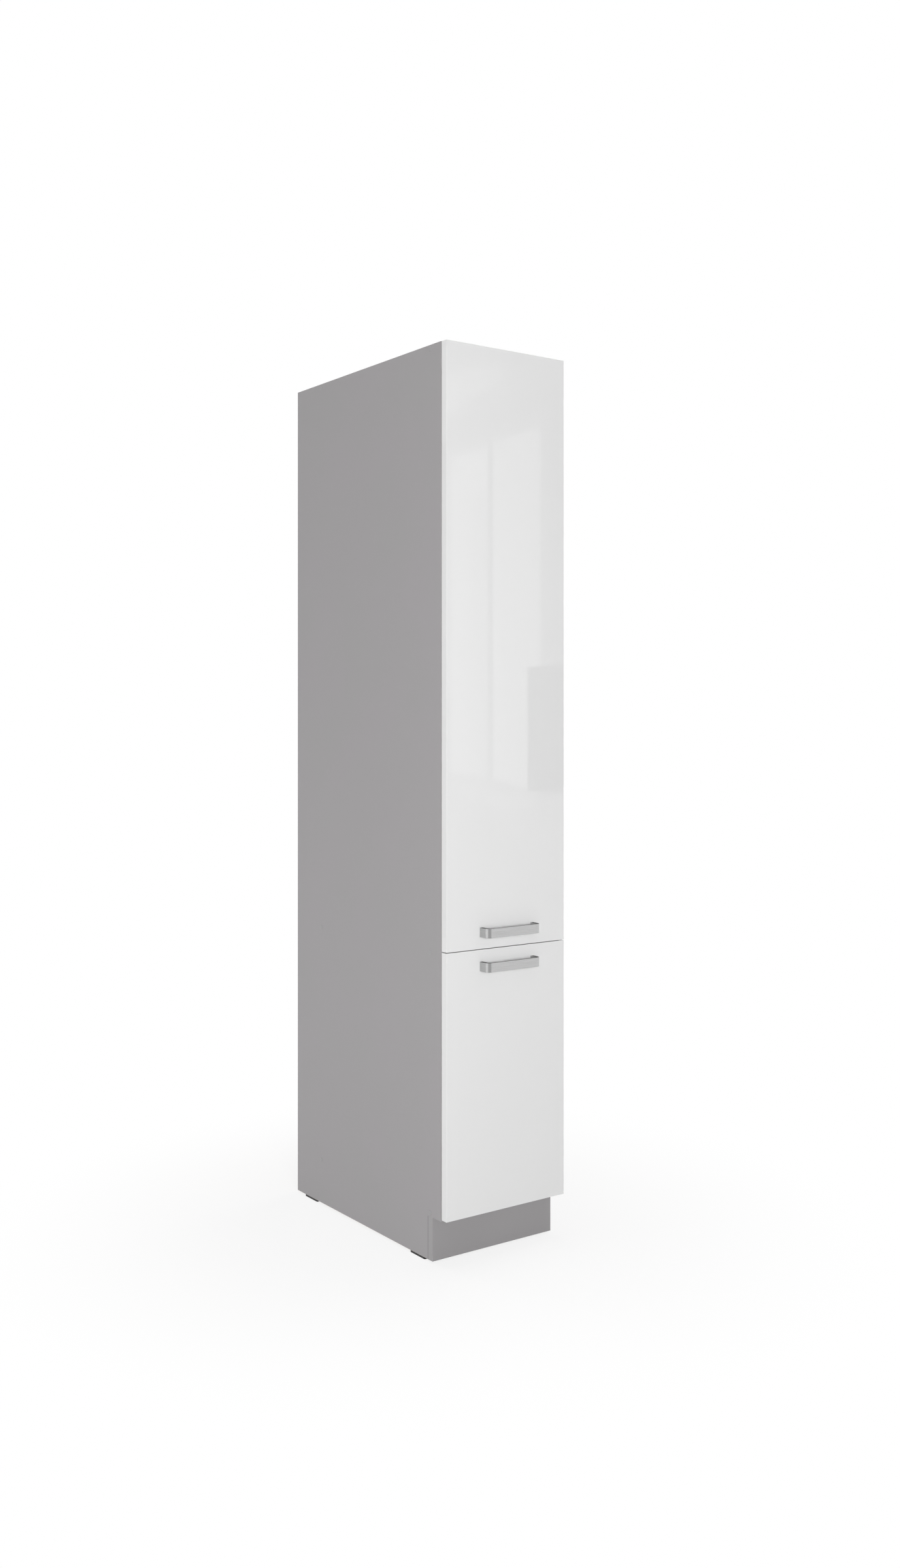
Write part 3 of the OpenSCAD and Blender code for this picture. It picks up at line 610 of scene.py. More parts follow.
def wood_finishes() -> dict[str, Finish]:
    """Return the boards' finishes by slot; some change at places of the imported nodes.

    Returns:
        The finish of each slot.
    """
    side_low, side_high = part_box("side_panel_left")
    _, back_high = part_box("back_panel")
    _, plinth_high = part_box("plinth_board")
    _, front_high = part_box("upper_front")
    # How far in the plinth's bands and painted seam shadows reach, and the fronts' painted edge
    # highlights and backs
    band, seam_shadow, edge, back = 0.5 * MM, 0.8 * MM, 0.4 * MM, 0.6 * MM
    return {
        # Light grey and matt, with a trace of pearl where light grazes it
        "carcase_board": CarcaseBoard(
            name="melamine_board",
            colour="a19fa0",
            cloud="a29fa1",
            band_front=side_low.y,
            raw_rear=side_high.y - FACE_DEPTH,
            raw_below=side_low.z + FACE_DEPTH,
        ),
        # The same skin, with the shade under the fronts painted into its colour
        "plinth_board": PlinthBoard(
            name="plinth_melamine",
            colour="939192",
            cloud="959394",
            end="a19fa0",
            end_beyond=plinth_high.x - band,
            seam_shadow_from=plinth_high.y - seam_shadow,
        ),
        # Thin grey lacquer inside, and brown felt at the rear
        "back_board": HardboardSheet(
            name="hardboard_sheet", colour="aaa9aa", raw_behind=back_high.y - FACE_DEPTH
        ),
        # White that mirrors the room, with a painted highlight on the side edges
        "front_gloss": GlossFront(
            name="polished_lacquer",
            colour="dfdfdf",
            edge="ececec",
            edge_highlight_beyond=front_high.x - edge,
            satin_behind=front_high.y - back,
        ),
    }


def metal_finishes() -> dict[str, Finish]:
    """Return the finishes of the handles, runners, frames and galleries by slot.

    Returns:
        The finish of each slot.
    """
    fields = ("name", "colour", "cloud", "smooth", "rough", "texture_mm", "height_mm")
    steel = {
        # Strip: cool and half bright, with long lines along the runner
        "runner_steel": ("zinc_plated_strip", "c6cacf", "bfc3c6", 0.22, 0.34, (0.5, 40, 0.5), 0.002),
        # Balls and cages: almost a mirror
        "ball_steel": ("bearing_steel", "d6d8db", "c9ccd0", 0.08, 0.16, (0.8, 0.8, 0.8), 0.002),
        # Screws: cool and bright, without a direction
        "screw_steel": ("zinc_plated_screw", "cdd0d3", "c3c6c8", 0.2, 0.32, (1, 1, 1), 0.002),
        # Sheet: duller, with broad lines from the mill
        "bracket_steel": ("zinc_plated_sheet", "bfc3c7", "b4b8ba", 0.28, 0.42, (0.6, 30, 30), 0.002),
        # Wire: mirror-bright, so that it shows as light and dark lines
        "gallery_chrome": ("chrome_plated_wire", "dde0e4", "d3d7dc", 0.05, 0.1, (3, 3, 3), 0.001),
    }
    return {slot: BrightSteel(**dict(zip(fields, row))) for slot, row in steel.items()} | {
        # Soft grey faces, and a painted dark reflection on the edges, which draws the handle's
        # outline
        "handle_nickel": BrushedNickel(
            name="brushed_nickel", colour="c2c2c2", line="bababa", edge_dark_reflection="454545"
        ),
        # Silver grey, with a fine glitter
        "frame_coat": PowderCoat(name="silver_powder_coat", colour="9b9da0", flake="b1b3b6"),
    }


def plastic_finishes() -> dict[str, Finish]:
    """Return the finishes of the caps, glides, trays and roller by slot.

    Returns:
        The finish of each slot.
    """
    fields = ("name", "colour", "smooth", "rough", "texture_mm", "height_mm", "glow", "eased_mm")
    fine, plain, coarse = (0.7, 0.7, 0.7), (0.8, 0.8, 0.8), (0.9, 0.9, 0.9)
    plastic = {
        # The panel's grey, a little smoother than the board
        "cap_plastic": ("grey_cap_plastic", "a3a2a3", 0.42, 0.52, fine, 0.015, 0.0, 0.0),
        # Black and dull
        "glide_plastic": ("black_glide_plastic", "0c0c0d", 0.4, 0.6, coarse, 0.03, 0.0, 0.6),
        # Warm white with a soft sheen
        "tray_plastic": ("white_tray_plastic", "ebebe9", 0.3, 0.42, coarse, 0.02, 0.05, 0.8),
        # Milky, with light inside
        "roller_nylon": ("natural_nylon", "ece9e0", 0.35, 0.45, plain, 0.01, 0.15, 0.0),
    }
    return {slot: MouldedPlastic(**dict(zip(fields, row))) for slot, row in plastic.items()}


# ------------ CAD nodes


@dataclass
class CadNodes:
    """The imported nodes: each one gets its slot's finish, and some get eased edges."""

    finish_of: dict[str, Finish]
    segments: int = 2

    def dress(self) -> None:
        """Give every node its finish, and ease its edges where the finish has a radius."""
        for part in frame["record"]["subparts"]:
            node = frame["nodes"][part["node"]]
            finish = self.finish_of[part["material_slot"]]
            if not node.material_slots:
                node.data.materials.append(None)
            for place in node.material_slots:
                place.material = finish.material()
            if finish.eased_mm:
                self.ease(node, finish.eased_mm)
            LOG.info("%s: %s, edges eased %.1f mm", node.name, finish.name, finish.eased_mm)

    def ease(self, node: Piece, radius_mm: float) -> None:
        """Round a node's edges with modifiers, so that they catch the light.

        Args:
            node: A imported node, whose mesh stays as it is.
            radius_mm: Radius of the edges.
        """
        weld = node.modifiers.new("merge", "WELD")
        weld.merge_threshold = MERGE_DISTANCE
        ease = node.modifiers.new("ease", "BEVEL")
        ease.width = radius_mm * MM
        ease.segments = self.segments
        ease.limit_method = "ANGLE"
        ease.angle_limit = SMOOTH_ANGLE
        shade = node.modifiers.new("flat faces", "WEIGHTED_NORMAL")
        shade.keep_sharp = True


# ------------ modelling


def deselect_all() -> None:
    """Leave edit mode and clear the selection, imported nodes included."""
    active = bpy.context.view_layer.objects.active
    if active is not None and active.mode != "OBJECT":
        bpy.ops.object.mode_set(mode="OBJECT")
    bpy.ops.object.select_all(action="DESELECT")


def activate(piece: Piece) -> None:
    """Select one piece alone and make it the active one.

    Args:
        piece: The piece.
    """
    deselect_all()
    piece.select_set(True)
    bpy.context.view_layer.objects.active = piece


@contextmanager
def editing(piece: Piece, kind: Element, test: Callable[..., bool]) -> Iterator[None]:
    """Edit one piece, with only some of its corners, edges or faces selected.

    Args:
        piece: The piece to edit.
        kind: What is selected.
        test: Takes a corner, edge or face and says whether it is selected.

    Yields:
        Nothing; the block's operators work on what is selected.
    """
    activate(piece)
    mode, items = kind.value
    bpy.ops.object.mode_set(mode="EDIT")
    bpy.ops.mesh.select_mode(type=mode)
    bpy.ops.mesh.select_all(action="DESELECT")
    for item in getattr(bmesh.from_edit_mesh(piece.data), items):
        if test(item):
            item.select_set(True)
    bmesh.update_edit_mesh(piece.data)
    yield
    bpy.ops.object.mode_set(mode="OBJECT")


def span(edge: bmesh.types.BMEdge, axis: Axis) -> float:
    """Return how far an edge reaches along an axis."""
    return abs(edge.verts[0].co[axis.value] - edge.verts[1].co[axis.value])


def faces_down(face: bmesh.types.BMFace) -> bool:
    """Say whether a face looks down."""
    return face.normal.z < -FACING


def started(primitive: Callable[..., object], **sizes: object) -> Piece:
    """Start a piece from a primitive, whose place and size go into its mesh.

    Args:
        primitive: Blender's operator that adds the primitive.
        sizes: What the operator takes.

    Returns:
        The piece.
    """
    deselect_all()
    primitive(**sizes)
    bpy.ops.object.transform_apply()
    return bpy.context.object


def round_rim(piece: Piece, height: float, offset: float, segments: int) -> None:
    """Round the upper rim of a piece.

    Args:
        piece: The piece.
        height: Height of its rim.
        offset: How far the rounding reaches in.
        segments: Steps of the rounding.
    """
    lowest = height - MERGE_DISTANCE
    with editing(piece, Element.EDGE, lambda edge: all(v.co.z > lowest for v in edge.verts)):
        bpy.ops.mesh.bevel(offset=offset, segments=segments)


def extrude(rise: float) -> None:
    """Extrude the selected faces up, or down where the rise is negative."""
    bpy.ops.mesh.extrude_region_move(TRANSFORM_OT_translate={"value": (0, 0, rise)})


def repeat(pattern: Piece, matrices: Iterable[Matrix]) -> list[Piece]:
    """Copy a pattern to its places, each copy with its own mesh.

    Args:
        pattern: The modelled pattern, which is removed.
        matrices: Where the copies go.

    Returns:
        The copies.
    """
    copies = []
    for matrix in matrices:
        copies.append(pattern.copy())
        copies[-1].data = pattern.data.copy()
        copies[-1].data.transform(matrix)
        bpy.context.scene.collection.objects.link(copies[-1])
    bpy.data.objects.remove(pattern)
    return copies


def settle(copies: list[Piece], name: str, body: str, finish: Finish) -> Piece:
    """Join copies into a piece with its place in its mesh, which rides on its body.

    Args:
        copies: The copies.
        name: Name of the piece.
        body: The CAD body that carries it.
        finish: Its finish.

    Returns:
        The piece.
    """
    activate(copies[0])
    for copy in copies[1:]:
        copy.select_set(True)
    bpy.ops.object.join()
    piece = bpy.context.view_layer.objects.active
    piece.name = piece.data.name = name
    activate(piece)
    bpy.ops.object.transform_apply()
    bpy.ops.object.shade_smooth_by_angle(angle=SMOOTH_ANGLE)
    piece.data.materials.clear()
    piece.data.materials.append(finish.material())
    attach(piece, body)
    LOG.info("%s: %d faces, rides on %s", piece.name, len(piece.data.polygons), body)
    return piece


# ------------ fittings


@dataclass(frozen=True)
class ScrewPlace:
    """Where a packed screw is, and how large it is."""

    head_at: Vector
    outward: Vector
    head_radius: float
    head_height: float
    shank_radius: float
    length: float

    @property
    def matrix(self) -> Matrix:
        """Turn and place for a screw that points down from the origin."""
        turn = self.outward.to_track_quat("Z", "Y").to_matrix().to_4x4()
        return Matrix.Translation(self.head_at) @ turn


def screw_places(node_name: str) -> list[ScrewPlace]:
    """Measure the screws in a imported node.

    Args:
        node_name: A node whose solids are all round-head screws.

    Returns:
        One place for each screw.
    """
    mesh = bmesh.new()
    mesh.from_mesh(frame["nodes"][node_name].data)
    bmesh.ops.remove_doubles(mesh, verts=mesh.verts, dist=MERGE_DISTANCE)
    left = set(mesh.verts)
    places = []
    while left:
        start = left.pop()
        island, queue = [start], [start]
        while queue:
            for edge in queue.pop().link_edges:
                for vert in edge.verts:
                    if vert in left:
                        left.remove(vert)
                        island.append(vert)
                        queue.append(vert)
        places.append(measure_screw([vert.co.copy() for vert in island]))
    mesh.free()
    return sorted(places, key=lambda place: tuple(place.head_at))


def measure_screw(points: list[Vector]) -> ScrewPlace:
    """Measure one screw from its corners.

    Args:
        points: The corners of the screw's solid.

    Returns:
        Its place and sizes.
    """
    low = Vector(min(p[i] for p in points) for i in range(3))
    high = Vector(max(p[i] for p in points) for i in range(3))
    size, centre = high - low, (high + low) / 2
    axis = max(range(3), key=lambda i: size[i])

    def radius(point: Vector) -> float:
        """Return how far a point is from the screw's axis."""
        return math.hypot(*(point[i] - centre[i] for i in range(3) if i != axis))

    near = 0.05 * MM
    wider_than_shank = 1.1
    at_low = max(radius(p) for p in points if p[axis] < low[axis] + near)
    at_high = max(radius(p) for p in points if p[axis] > high[axis] - near)
    sign = 1.0 if at_high > at_low else -1.0
    shank = min(at_low, at_high)
    wide = [p[axis] for p in points if radius(p) > wider_than_shank * shank]
    head_at = centre.copy()
    head_at[axis] = min(wide) if sign > 0 else max(wide)
    outward = Vector((0.0, 0.0, 0.0))
    outward[axis] = sign
    head_height = max(wide) - min(wide)
    return ScrewPlace(
        head_at=head_at,
        outward=outward,
        head_radius=max(radius(p) for p in points),
        head_height=head_height,
        shank_radius=shank,
        length=size[axis] - head_height,
    )


@dataclass
class PanScrews:
    """Pan-head screws with a cross recess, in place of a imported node's plain ones.

    The shares are of the head's radius or height, and the tip's of the shank's length.
    """

    level: Level
    finish: Finish
    sides: int = 24
    dome_share: float = 0.45
    dome_steps: int = 4
    tip_share: float = 0.15
    tip_taper: float = 0.5
    recess_share: float = 0.62
    slot_share: float = 0.2
    deep_share: float = 0.62
    recess_taper: Point = (0.45, 0.6, 1.0)

    def build(self) -> None:
        """Model each size of screw once, and copy it to its places."""
        node = f"{self.level.value}_screws"
        alike: dict[tuple, list[ScrewPlace]] = {}
        for place in screw_places(node):
            sizes = (place.head_radius, place.head_height, place.shank_radius, place.length)
            alike.setdefault(tuple(round(size / MM, 2) for size in sizes), []).append(place)
        copies = []
        for places in alike.values():
            copies += repeat(self.model(places[0]), [place.matrix for place in places])
        name = f"{self.level.value}_pan_screws"
        screws = settle(copies, name, self.level.body, self.finish)
        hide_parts(node)

    def model(self, place: ScrewPlace) -> Piece:
        """Model one screw, with the underside of its head at the origin.

        Args:
            place: The sizes of the screw.

        Returns:
            The screw, pointing down.
        """
        head_r, head_h = place.head_radius, place.head_height
        screw = started(
            bpy.ops.mesh.primitive_cylinder_add,
            vertices=self.sides,
            radius=head_r,
            depth=head_h,
            location=(0, 0, head_h / 2),
        )
        round_rim(screw, head_h, self.dome_share * head_h, self.dome_steps)
        with editing(screw, Element.FACE, faces_down):
            bpy.ops.mesh.inset(thickness=head_r - place.shank_radius)
            extrude(-(1 - self.tip_share) * place.length)
            extrude(-self.tip_share * place.length)
            bpy.ops.transform.resize(value=(self.tip_taper, self.tip_taper, 1.0))
        self.cut_recess(screw, head_r, head_h)
        return screw

    def cut_recess(self, screw: Piece, head_r: float, head_h: float) -> None:
        """Cut the cross recess into a head.

        Args:
            screw: The screw, its head above the origin.
            head_r: Radius of the head.
            head_h: Height of the head.
        """
        middle = (0, 0, head_h)
        long, wide = 2 * self.recess_share * head_r, 2 * self.slot_share * head_r
        size = (long, wide, 2 * self.deep_share * head_h)
        box = bpy.ops.mesh.primitive_cube_add
        for angle in (0.0, math.pi / 2):
            cutter = started(box, size=1.0, location=middle, scale=size)
            with editing(cutter, Element.FACE, faces_down):
                bpy.ops.transform.resize(value=self.recess_taper)
                bpy.ops.mesh.select_all(action="SELECT")
                bpy.ops.transform.rotate(value=angle, orient_axis="Z", center_override=middle)
            cut = screw.modifiers.new("recess", "BOOLEAN")
            cut.operation = "DIFFERENCE"
            cut.object = cutter
            cut.solver = "EXACT"
            activate(screw)
            bpy.ops.object.modifier_apply(modifier=cut.name)
            bpy.data.objects.remove(cutter)


@dataclass
class TubePlugs:
    """Black plugs in the open ends of a frame's beam."""

    level: Level
    finish: Finish
    plate_mm: float = 1.2
    body_mm: float = 12.0
    wall_mm: float = 1.5
    corner_mm: float = 3.0
    corner_steps: int = 6
    rim_share: float = 0.5
    rim_steps: int = 3
    hollow_share: float = 0.9
    play_mm: float = 0.05

    def build(self) -> None:
        """Model a plug and copy it to both ends of the beam."""
        low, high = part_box(f"{self.level.value}_beam")
        centre = (low + high) / 2
        places = []
        for end_y, degrees in ((low.y, 90), (high.y, -90)):
            place = Matrix.Translation((centre.x, end_y, centre.z))
            places.append(place @ Matrix.Rotation(math.radians(degrees), 4, "X"))
        plugs = repeat(self.model(high.x - low.x, high.z - low.z), places)
        name = f"{self.level.value}_tube_plugs"
        settle(plugs, name, self.level.body, self.finish)

    def model(self, width: float, height: float) -> Piece:
        """Model a plug with its plate above the origin and its body below.

        Args:
            width: Width of the tube.
            height: Height of the tube.

        Returns:
            The plug.
        """
        plate = self.plate_mm * MM
        plug = started(
            bpy.ops.mesh.primitive_cube_add,
            size=1.0,
            location=(0, 0, plate / 2),
            scale=(width, height, plate),
        )
        with editing(plug, Element.EDGE, lambda edge: span(edge, Axis.Z) > plate / 2):
            bpy.ops.mesh.bevel(offset=self.corner_mm * MM, segments=self.corner_steps)
        round_rim(plug, plate, self.rim_share * plate, self.rim_steps)
        with editing(plug, Element.FACE, faces_down):
            bpy.ops.mesh.inset(thickness=(self.wall_mm + self.play_mm) * MM)
            extrude(-self.body_mm * MM)
            bpy.ops.mesh.inset(thickness=self.wall_mm * MM)
            extrude(self.hollow_share * self.body_mm * MM)
        return plug


@dataclass
class WeldBeads:
    """Ring welds where a frame's uprights meet its carrier and its beam."""

    level: Level
    finish: Finish
    bead_mm: float = 1.5
    out_mm: float = 0.3
    corner_mm: float = 3.0
    ripple_mm: float = 0.22
    pitch_mm: float = 1.5
    along: int = 16
    around: int = 8
    middle_share: float = 0.12
    straight_share: float = 0.8

    @property
    def bend(self) -> float:
        """Radius of the ring's corners, to the middle of the bead."""
        return (self.corner_mm + self.out_mm) * MM

    def build(self) -> None:
        """Model one bead and copy it to the frame's four joints."""
        name = self.level.value
        places = []
        for upright in (f"{name}_front_upright", f"{name}_rear_upright"):
            low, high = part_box(upright)
            for z in (low.z, high.z):
                place = ((low.x + high.x) / 2, (low.y + high.y) / 2, z)
                places.append(Matrix.Translation(place))
        low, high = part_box(f"{name}_front_upright")
        beads = repeat(self.model(high.x - low.x, high.y - low.y), places)
        settle(beads, f"{name}_weld_beads", self.level.body, self.finish)

    def model(self, width: float, depth: float) -> Piece:
        """Model a rippled ring round a tube, from a torus whose quarters are parted.

        Args:
            width: Width of the tube.
            depth: Depth of the tube.

        Returns:
            The ring, about the origin.
        """
        part = Vector((width / 2 - self.corner_mm * MM, depth / 2 - self.corner_mm * MM))
        ring = started(
            bpy.ops.mesh.primitive_torus_add,
            major_radius=self.bend,
            minor_radius=self.bead_mm * MM,
            major_segments=self.along,
            minor_segments=self.around,
        )
        for axis in (Axis.X, Axis.Y):
            way = axis.value
            for sign in (-1, 1):
                move = Vector((0.0, 0.0, 0.0))
                move[way] = sign * part[way]
                with editing(ring, Element.CORNER, lambda v: self.side(v.co[way]) == sign):
                    bpy.ops.transform.translate(value=move)
            self.subdivide(ring, axis, part[way])
        self.ripple(ring)
        return ring

    def side(self, offset: float) -> int:
        """Return -1, 0 or 1 for a point before, near or past the ring's middle."""
        near = abs(offset) < self.middle_share * self.bend
        return 0 if near else int(math.copysign(1, offset))

    def subdivide(self, ring: Piece, axis: Axis, length: float) -> None:
        """Cut the ring's straight stretches into steps of half a ripple.

        Args:
            ring: The ring.
            axis: The axis that the stretches lie along.
            length: How far its quarters were parted.
        """
        cuts = max(1, round(length / (self.pitch_mm * MM / 2)))
        straight = self.straight_share * length
        with editing(ring, Element.EDGE, lambda edge: span(edge, axis) > straight):
            bpy.ops.mesh.subdivide(number_cuts=cuts)

    def ripple(self, ring: Piece) -> None:
        """Swell the bead in even steps, as a weld does where each drop froze.

        Args:
            ring: The ring.
        """
        step = self.pitch_mm * MM
        for vert in ring.data.vertices:
            along = vert.co.x + vert.co.y
            swell = 1 + self.ripple_mm / self.bead_mm * math.sin(2 * math.pi * along / step)
            vert.co.z *= swell


@dataclass
class FrontBumpers:
    """Soft grey bumpers on the carcase's front edges, behind the fronts' corners."""

    finish: Finish
    sides: int = 24
    radius_mm: float = 4.0
    high_mm: float = 0.8
    dome_share: float = 0.85
    dome_steps: int = 4
    from_end_mm: float = 45.0

    def build(self) -> None:
        """Model one bumper and copy it to the corners of both fronts."""
        side_low, side_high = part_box("side_panel_left")
        lane = -(side_low.x + side_high.x) / 2
        turn = Matrix.Rotation(math.radians(90), 4, "X")
        places = []
        for level in Level:
            low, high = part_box(f"{level.value}_front")
            for z in (low.z + self.from_end_mm * MM, high.z - self.from_end_mm * MM):
                for x in (-lane, lane):
                    places.append(Matrix.Translation((x, side_low.y, z)) @ turn)
        high = self.high_mm * MM
        bumper = started(
            bpy.ops.mesh.primitive_cylinder_add,
            vertices=self.sides,
            radius=self.radius_mm * MM,
            depth=high,
            location=(0, 0, high / 2),
        )
        round_rim(bumper, high, self.dome_share * high, self.dome_steps)
        bumpers = repeat(bumper, places)
        settle(bumpers, "front_bumpers", "cabinet", self.finish)


# ------------ studio


@dataclass(frozen=True)
class Softbox:
    """A soft lamp that faces a point. Mirrors don't show it, only its light."""

    name: str
    place: Point
    target: Point
    size: Span
    watts: float

    def add(self) -> None:
        """Hang the lamp."""
        lamp = bpy.data.lights.new(self.name, "AREA")
        lamp.shape = "RECTANGLE"
        lamp.size, lamp.size_y = self.size
        lamp.energy = self.watts
        holder = bpy.data.objects.new(self.name, lamp)
        holder.location = self.place
        aim = Vector(self.target) - Vector(self.place)
        holder.rotation_euler = aim.to_track_quat("-Z", "Y").to_euler()
        holder.visible_glossy = False
        bpy.context.scene.collection.objects.link(holder)


@dataclass(frozen=True)
class Patch:
    """A flat piece of the room, such as a pane or a screen, that only mirrors show.

    Its foot runs from one point of the plan to the other, as the mirror shows them
    from left to right. Both heights may change along it.
    """

    name: str
    left: Span
    right: Span
    left_z: Span
    right_z: Span
    glow: float

    def add(self) -> None:
        """Stand the patch up as a card that glows."""
        card = started(bpy.ops.mesh.primitive_plane_add, size=1.0)
        card.name = f"mirrored_{self.name}"
        foot = ((self.left, self.left_z[0]), (self.right, self.right_z[0]))
        head = ((self.right, self.right_z[1]), (self.left, self.left_z[1]))
        for index, (place, height) in zip(card.data.polygons[0].vertices, foot + head):
            card.data.vertices[index].co = (*place, height)
        nodes = Nodes(bpy.data.materials.new(card.name))
        light = {"Color": "ffffff", "Strength": self.glow}
        nodes.add("OutputMaterial", {"Surface": nodes.add("Emission", light)[0]})
        card.data.materials.append(nodes.owner)
        card.visible_camera = card.visible_diffuse = card.visible_shadow = False
        card.visible_transmission = card.visible_volume_scatter = False


@dataclass
class Studio:
    """The floor, the light and the photograph's camera."""

    camera_at: Point = (-1.7950, -2.5939, 1.0827)
    camera_turn: float = -35.54
    lens_mm: float = 33.51
    sensor_mm: float = 36.0
    shift_y: float = -0.04423
    floor_r: float = 14.0
    floor_sides: int = 96
    paper: str = "f9f9f9"
    bounce: str = "bcbcbc"
    shadow_share: float = 0.2
    shadow_r: float = 1.0
    shadow_full: float = 0.3
    ambient: float = 0.3
    ceiling: float = 0.45
    ceiling_from: float = 0.3
    ceiling_full: float = 0.8
    lamps: tuple[Softbox, ...] = (
        Softbox("front_softbox", (-2.1, -3.95, 1.2), (0.0, -0.2, 1.0), (1.4, 1.1), 138),
        Softbox("left_softbox", (-3.2, 1.0, 0.3), (-0.1, 0.1, 0.4), (2.4, 1.2), 23),
        Softbox("right_softbox", (3.2, 0.6, 1.0), (0.1, 0.0, 0.9), (2.4, 2.0), 52),
        Softbox("rear_softbox", (-0.8, 4.2, 1.0), (0.0, 0.3, 0.9), (2.4, 2.0), 70),
        Softbox("overhead_softbox", (0.0, -0.2, 5.2), (0.0, -0.2, 0.0), (1.4, 1.4), 50),
    )
    wall_x: float = 2.6
    # On the wall: name, Y of the left and right ends, heights at either end, and glow
    wall: tuple[tuple[str, float, float, Span, Span, float], ...] = (
        ("ceiling_light", -4.19, -3.68, (2.62, 2.86), (2.73, 2.83), 1.5),
        ("cornice", -4.19, -3.16, (2.46, 2.56), (2.56, 2.61), 0.85),
        ("left_pane", -4.10, -3.785, (0.78, 2.41), (0.77, 2.43), 1.75),
        ("curtain", -3.95, -3.785, (0.77, 2.20), (0.77, 2.20), 1.5),
        ("mullion", -3.785, -3.735, (0.77, 2.43), (0.76, 2.44), 0.75),
        ("right_pane", -3.735, -3.365, (0.76, 2.44), (0.71, 2.455), 1.7),
        ("jamb", -3.355, -3.16, (0.70, 2.44), (0.70, 2.45), 0.8),
        ("floor_glow", -4.02, -3.48, (0.66, 0.74), (0.60, 0.68), 1.25),
        ("cabinet", -3.46, -3.16, (0.715, 1.315), (0.72, 1.31), 0.0),
        ("cabinet_leg", -3.345, -3.33, (0.57, 0.715), (0.57, 0.715), 0.2),
    )
    screens: tuple[Patch, ...] = (
        Patch("grey_screen", (-2.6, 1.3), (-2.6, 7.0), (0.0, 2.4), (0.0, 2.4), 0.66),
        Patch("bright_screen", (-3.0, -2.4), (-3.0, 0.5), (0.0, 2.4), (0.0, 2.4), 1.15),
        Patch("dim_screen", (-1.5, -1.6), (0.7, -2.2), (0.0, 0.7), (0.0, 0.7), 0.6),
    )

    def build(self) -> None:
        """Set up the camera, the world, the floor, the lamps and the mirrored room."""
        self.add_camera()
        self.add_world()
        self.add_floor()
        for lamp in self.lamps:
            lamp.add()
        self.add_room()
        bpy.context.scene.view_settings.view_transform = "Standard"
        LOG.info("studio: camera, floor, world, lamps and mirrored room")

    def add_camera(self) -> None:
        """Put the camera where the photograph was taken from."""
        camera = bpy.data.cameras.new("camera")
        camera.lens = self.lens_mm
        camera.sensor_width = self.sensor_mm
        camera.shift_y = self.shift_y
        camera.clip_end = 100.0
        holder = bpy.data.objects.new("camera", camera)
        holder.location = self.camera_at
        holder.rotation_euler = Euler((math.radians(90), 0, math.radians(self.camera_turn)))
        bpy.context.scene.collection.objects.link(holder)
        bpy.context.scene.camera = holder

    def add_world(self) -> None:
        """Fill the world with white. It lights the object at the ambient level, and
        mirrors show it white as far up as a ceiling, which is greyer."""
        world = bpy.data.worlds.new("white_studio")
        bpy.context.scene.world = world
        nodes = Nodes(world)
        way = nodes.add("TexCoord")["Generated"]
        up = nodes.add("SeparateXYZ", {"Vector": way})["Z"]
        limits = {
            "From Min": self.ceiling_from,
            "From Max": self.ceiling_full,
            "To Min": 1.0,
            "To Max": self.ceiling,
            "Value": up,
        }
        mirrored = nodes.add("MapRange", limits)[0]
        glossy = nodes.add("LightPath")["Is Glossy Ray"]
        shown = nodes.add("Mix", {0: glossy, FIRST_NUMBER: 1.0, SECOND_NUMBER: mirrored})[0]
        level = {0: nodes.seen_directly(), FIRST_NUMBER: self.ambient, SECOND_NUMBER: shown}
        strength = nodes.add("Mix", level)[0]
        white = nodes.add("Background", {"Color": "ffffff", "Strength": strength})[0]
        nodes.add("OutputWorld", {"Surface": white})

    def add_floor(self) -> None:
        """Lay a round white floor, which keeps a pale shadow near the object and throws
        less light back at it than white paper would."""
        floor = started(
            bpy.ops.mesh.primitive_circle_add,
            vertices=self.floor_sides,
            radius=self.floor_r,
            fill_type="NGON",
        )
        floor.name = "studio_floor"
        nodes = Nodes(bpy.data.materials.new("studio_white"))
        lighting = nodes.add("LightPath")["Is Diffuse Ray"]
        tone = nodes.layered(self.paper, (lighting, self.bounce))
        paper = nodes.add("BsdfDiffuse", {"Color": tone})[0]
        glow = nodes.add("Emission", {"Color": "ffffff", "Strength": 1.0})[0]
        distance = nodes.add("VectorMath", {"operation": "LENGTH", 0: nodes.place})["Value"]
        limits = {
            "interpolation_type": "SMOOTHSTEP",
            "From Min": self.shadow_full * self.shadow_r,
            "From Max": self.shadow_r,
            "To Min": 1 - self.shadow_share,
            "To Max": 1.0,
            "Value": distance,
        }
        far = nodes.add("MapRange", limits)[0]
        shown = {"operation": "MULTIPLY", 0: far, 1: nodes.seen_directly()}
        mixed = nodes.add("MixShader", {0: nodes.add("Math", shown)[0], 1: paper, 2: glow})[0]
        nodes.add("OutputMaterial", {"Surface": mixed})
        floor.data.materials.append(nodes.owner)

    def add_room(self) -> None:
        """Stand up the mirrored room: on a wall to the right a lit ceiling over a
        cornice, a window of two panes and a cabinet with a leg, which the fronts show, and
        on the left the screens that the rounded corners of the handles show.

        Each patch on the wall stands a little before the last, so that it hides it.
        """
        for number, (name, left_y, right_y, left_z, right_z, glow) in enumerate(self.wall):
            x = self.wall_x - number * MM
            Patch(name, (x, left_y), (x, right_y), left_z, right_z, glow).add()
        for screen in self.screens:
            screen.add()


# ------------ the unit


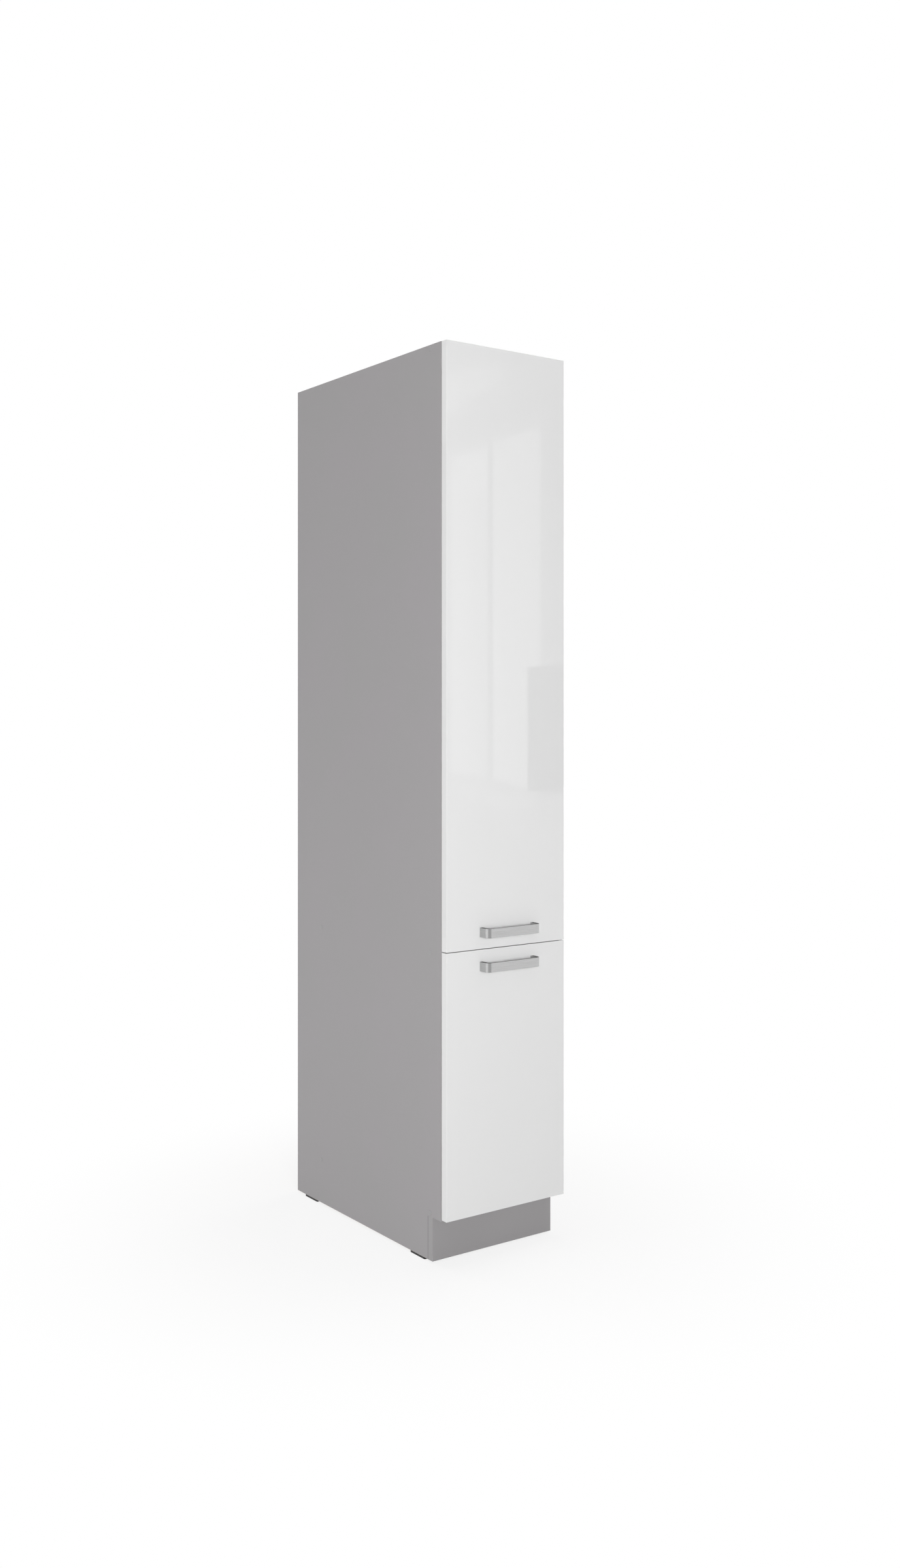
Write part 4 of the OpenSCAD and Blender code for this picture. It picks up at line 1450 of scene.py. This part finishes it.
def main() -> None:
    """Dress the nodes, model the fittings and set up the studio."""
    logging.basicConfig(level=logging.INFO, format="%(name)s: %(message)s")
    finish_of = wood_finishes() | metal_finishes() | plastic_finishes()
    CadNodes(finish_of).dress()
    for level in Level:
        PanScrews(level, finish_of["screw_steel"]).build()
        TubePlugs(level, finish_of["glide_plastic"]).build()
        WeldBeads(level, finish_of["frame_coat"]).build()
    FrontBumpers(finish_of["cap_plastic"]).build()
    Studio().build()


if __name__ == "__main__":
    main()
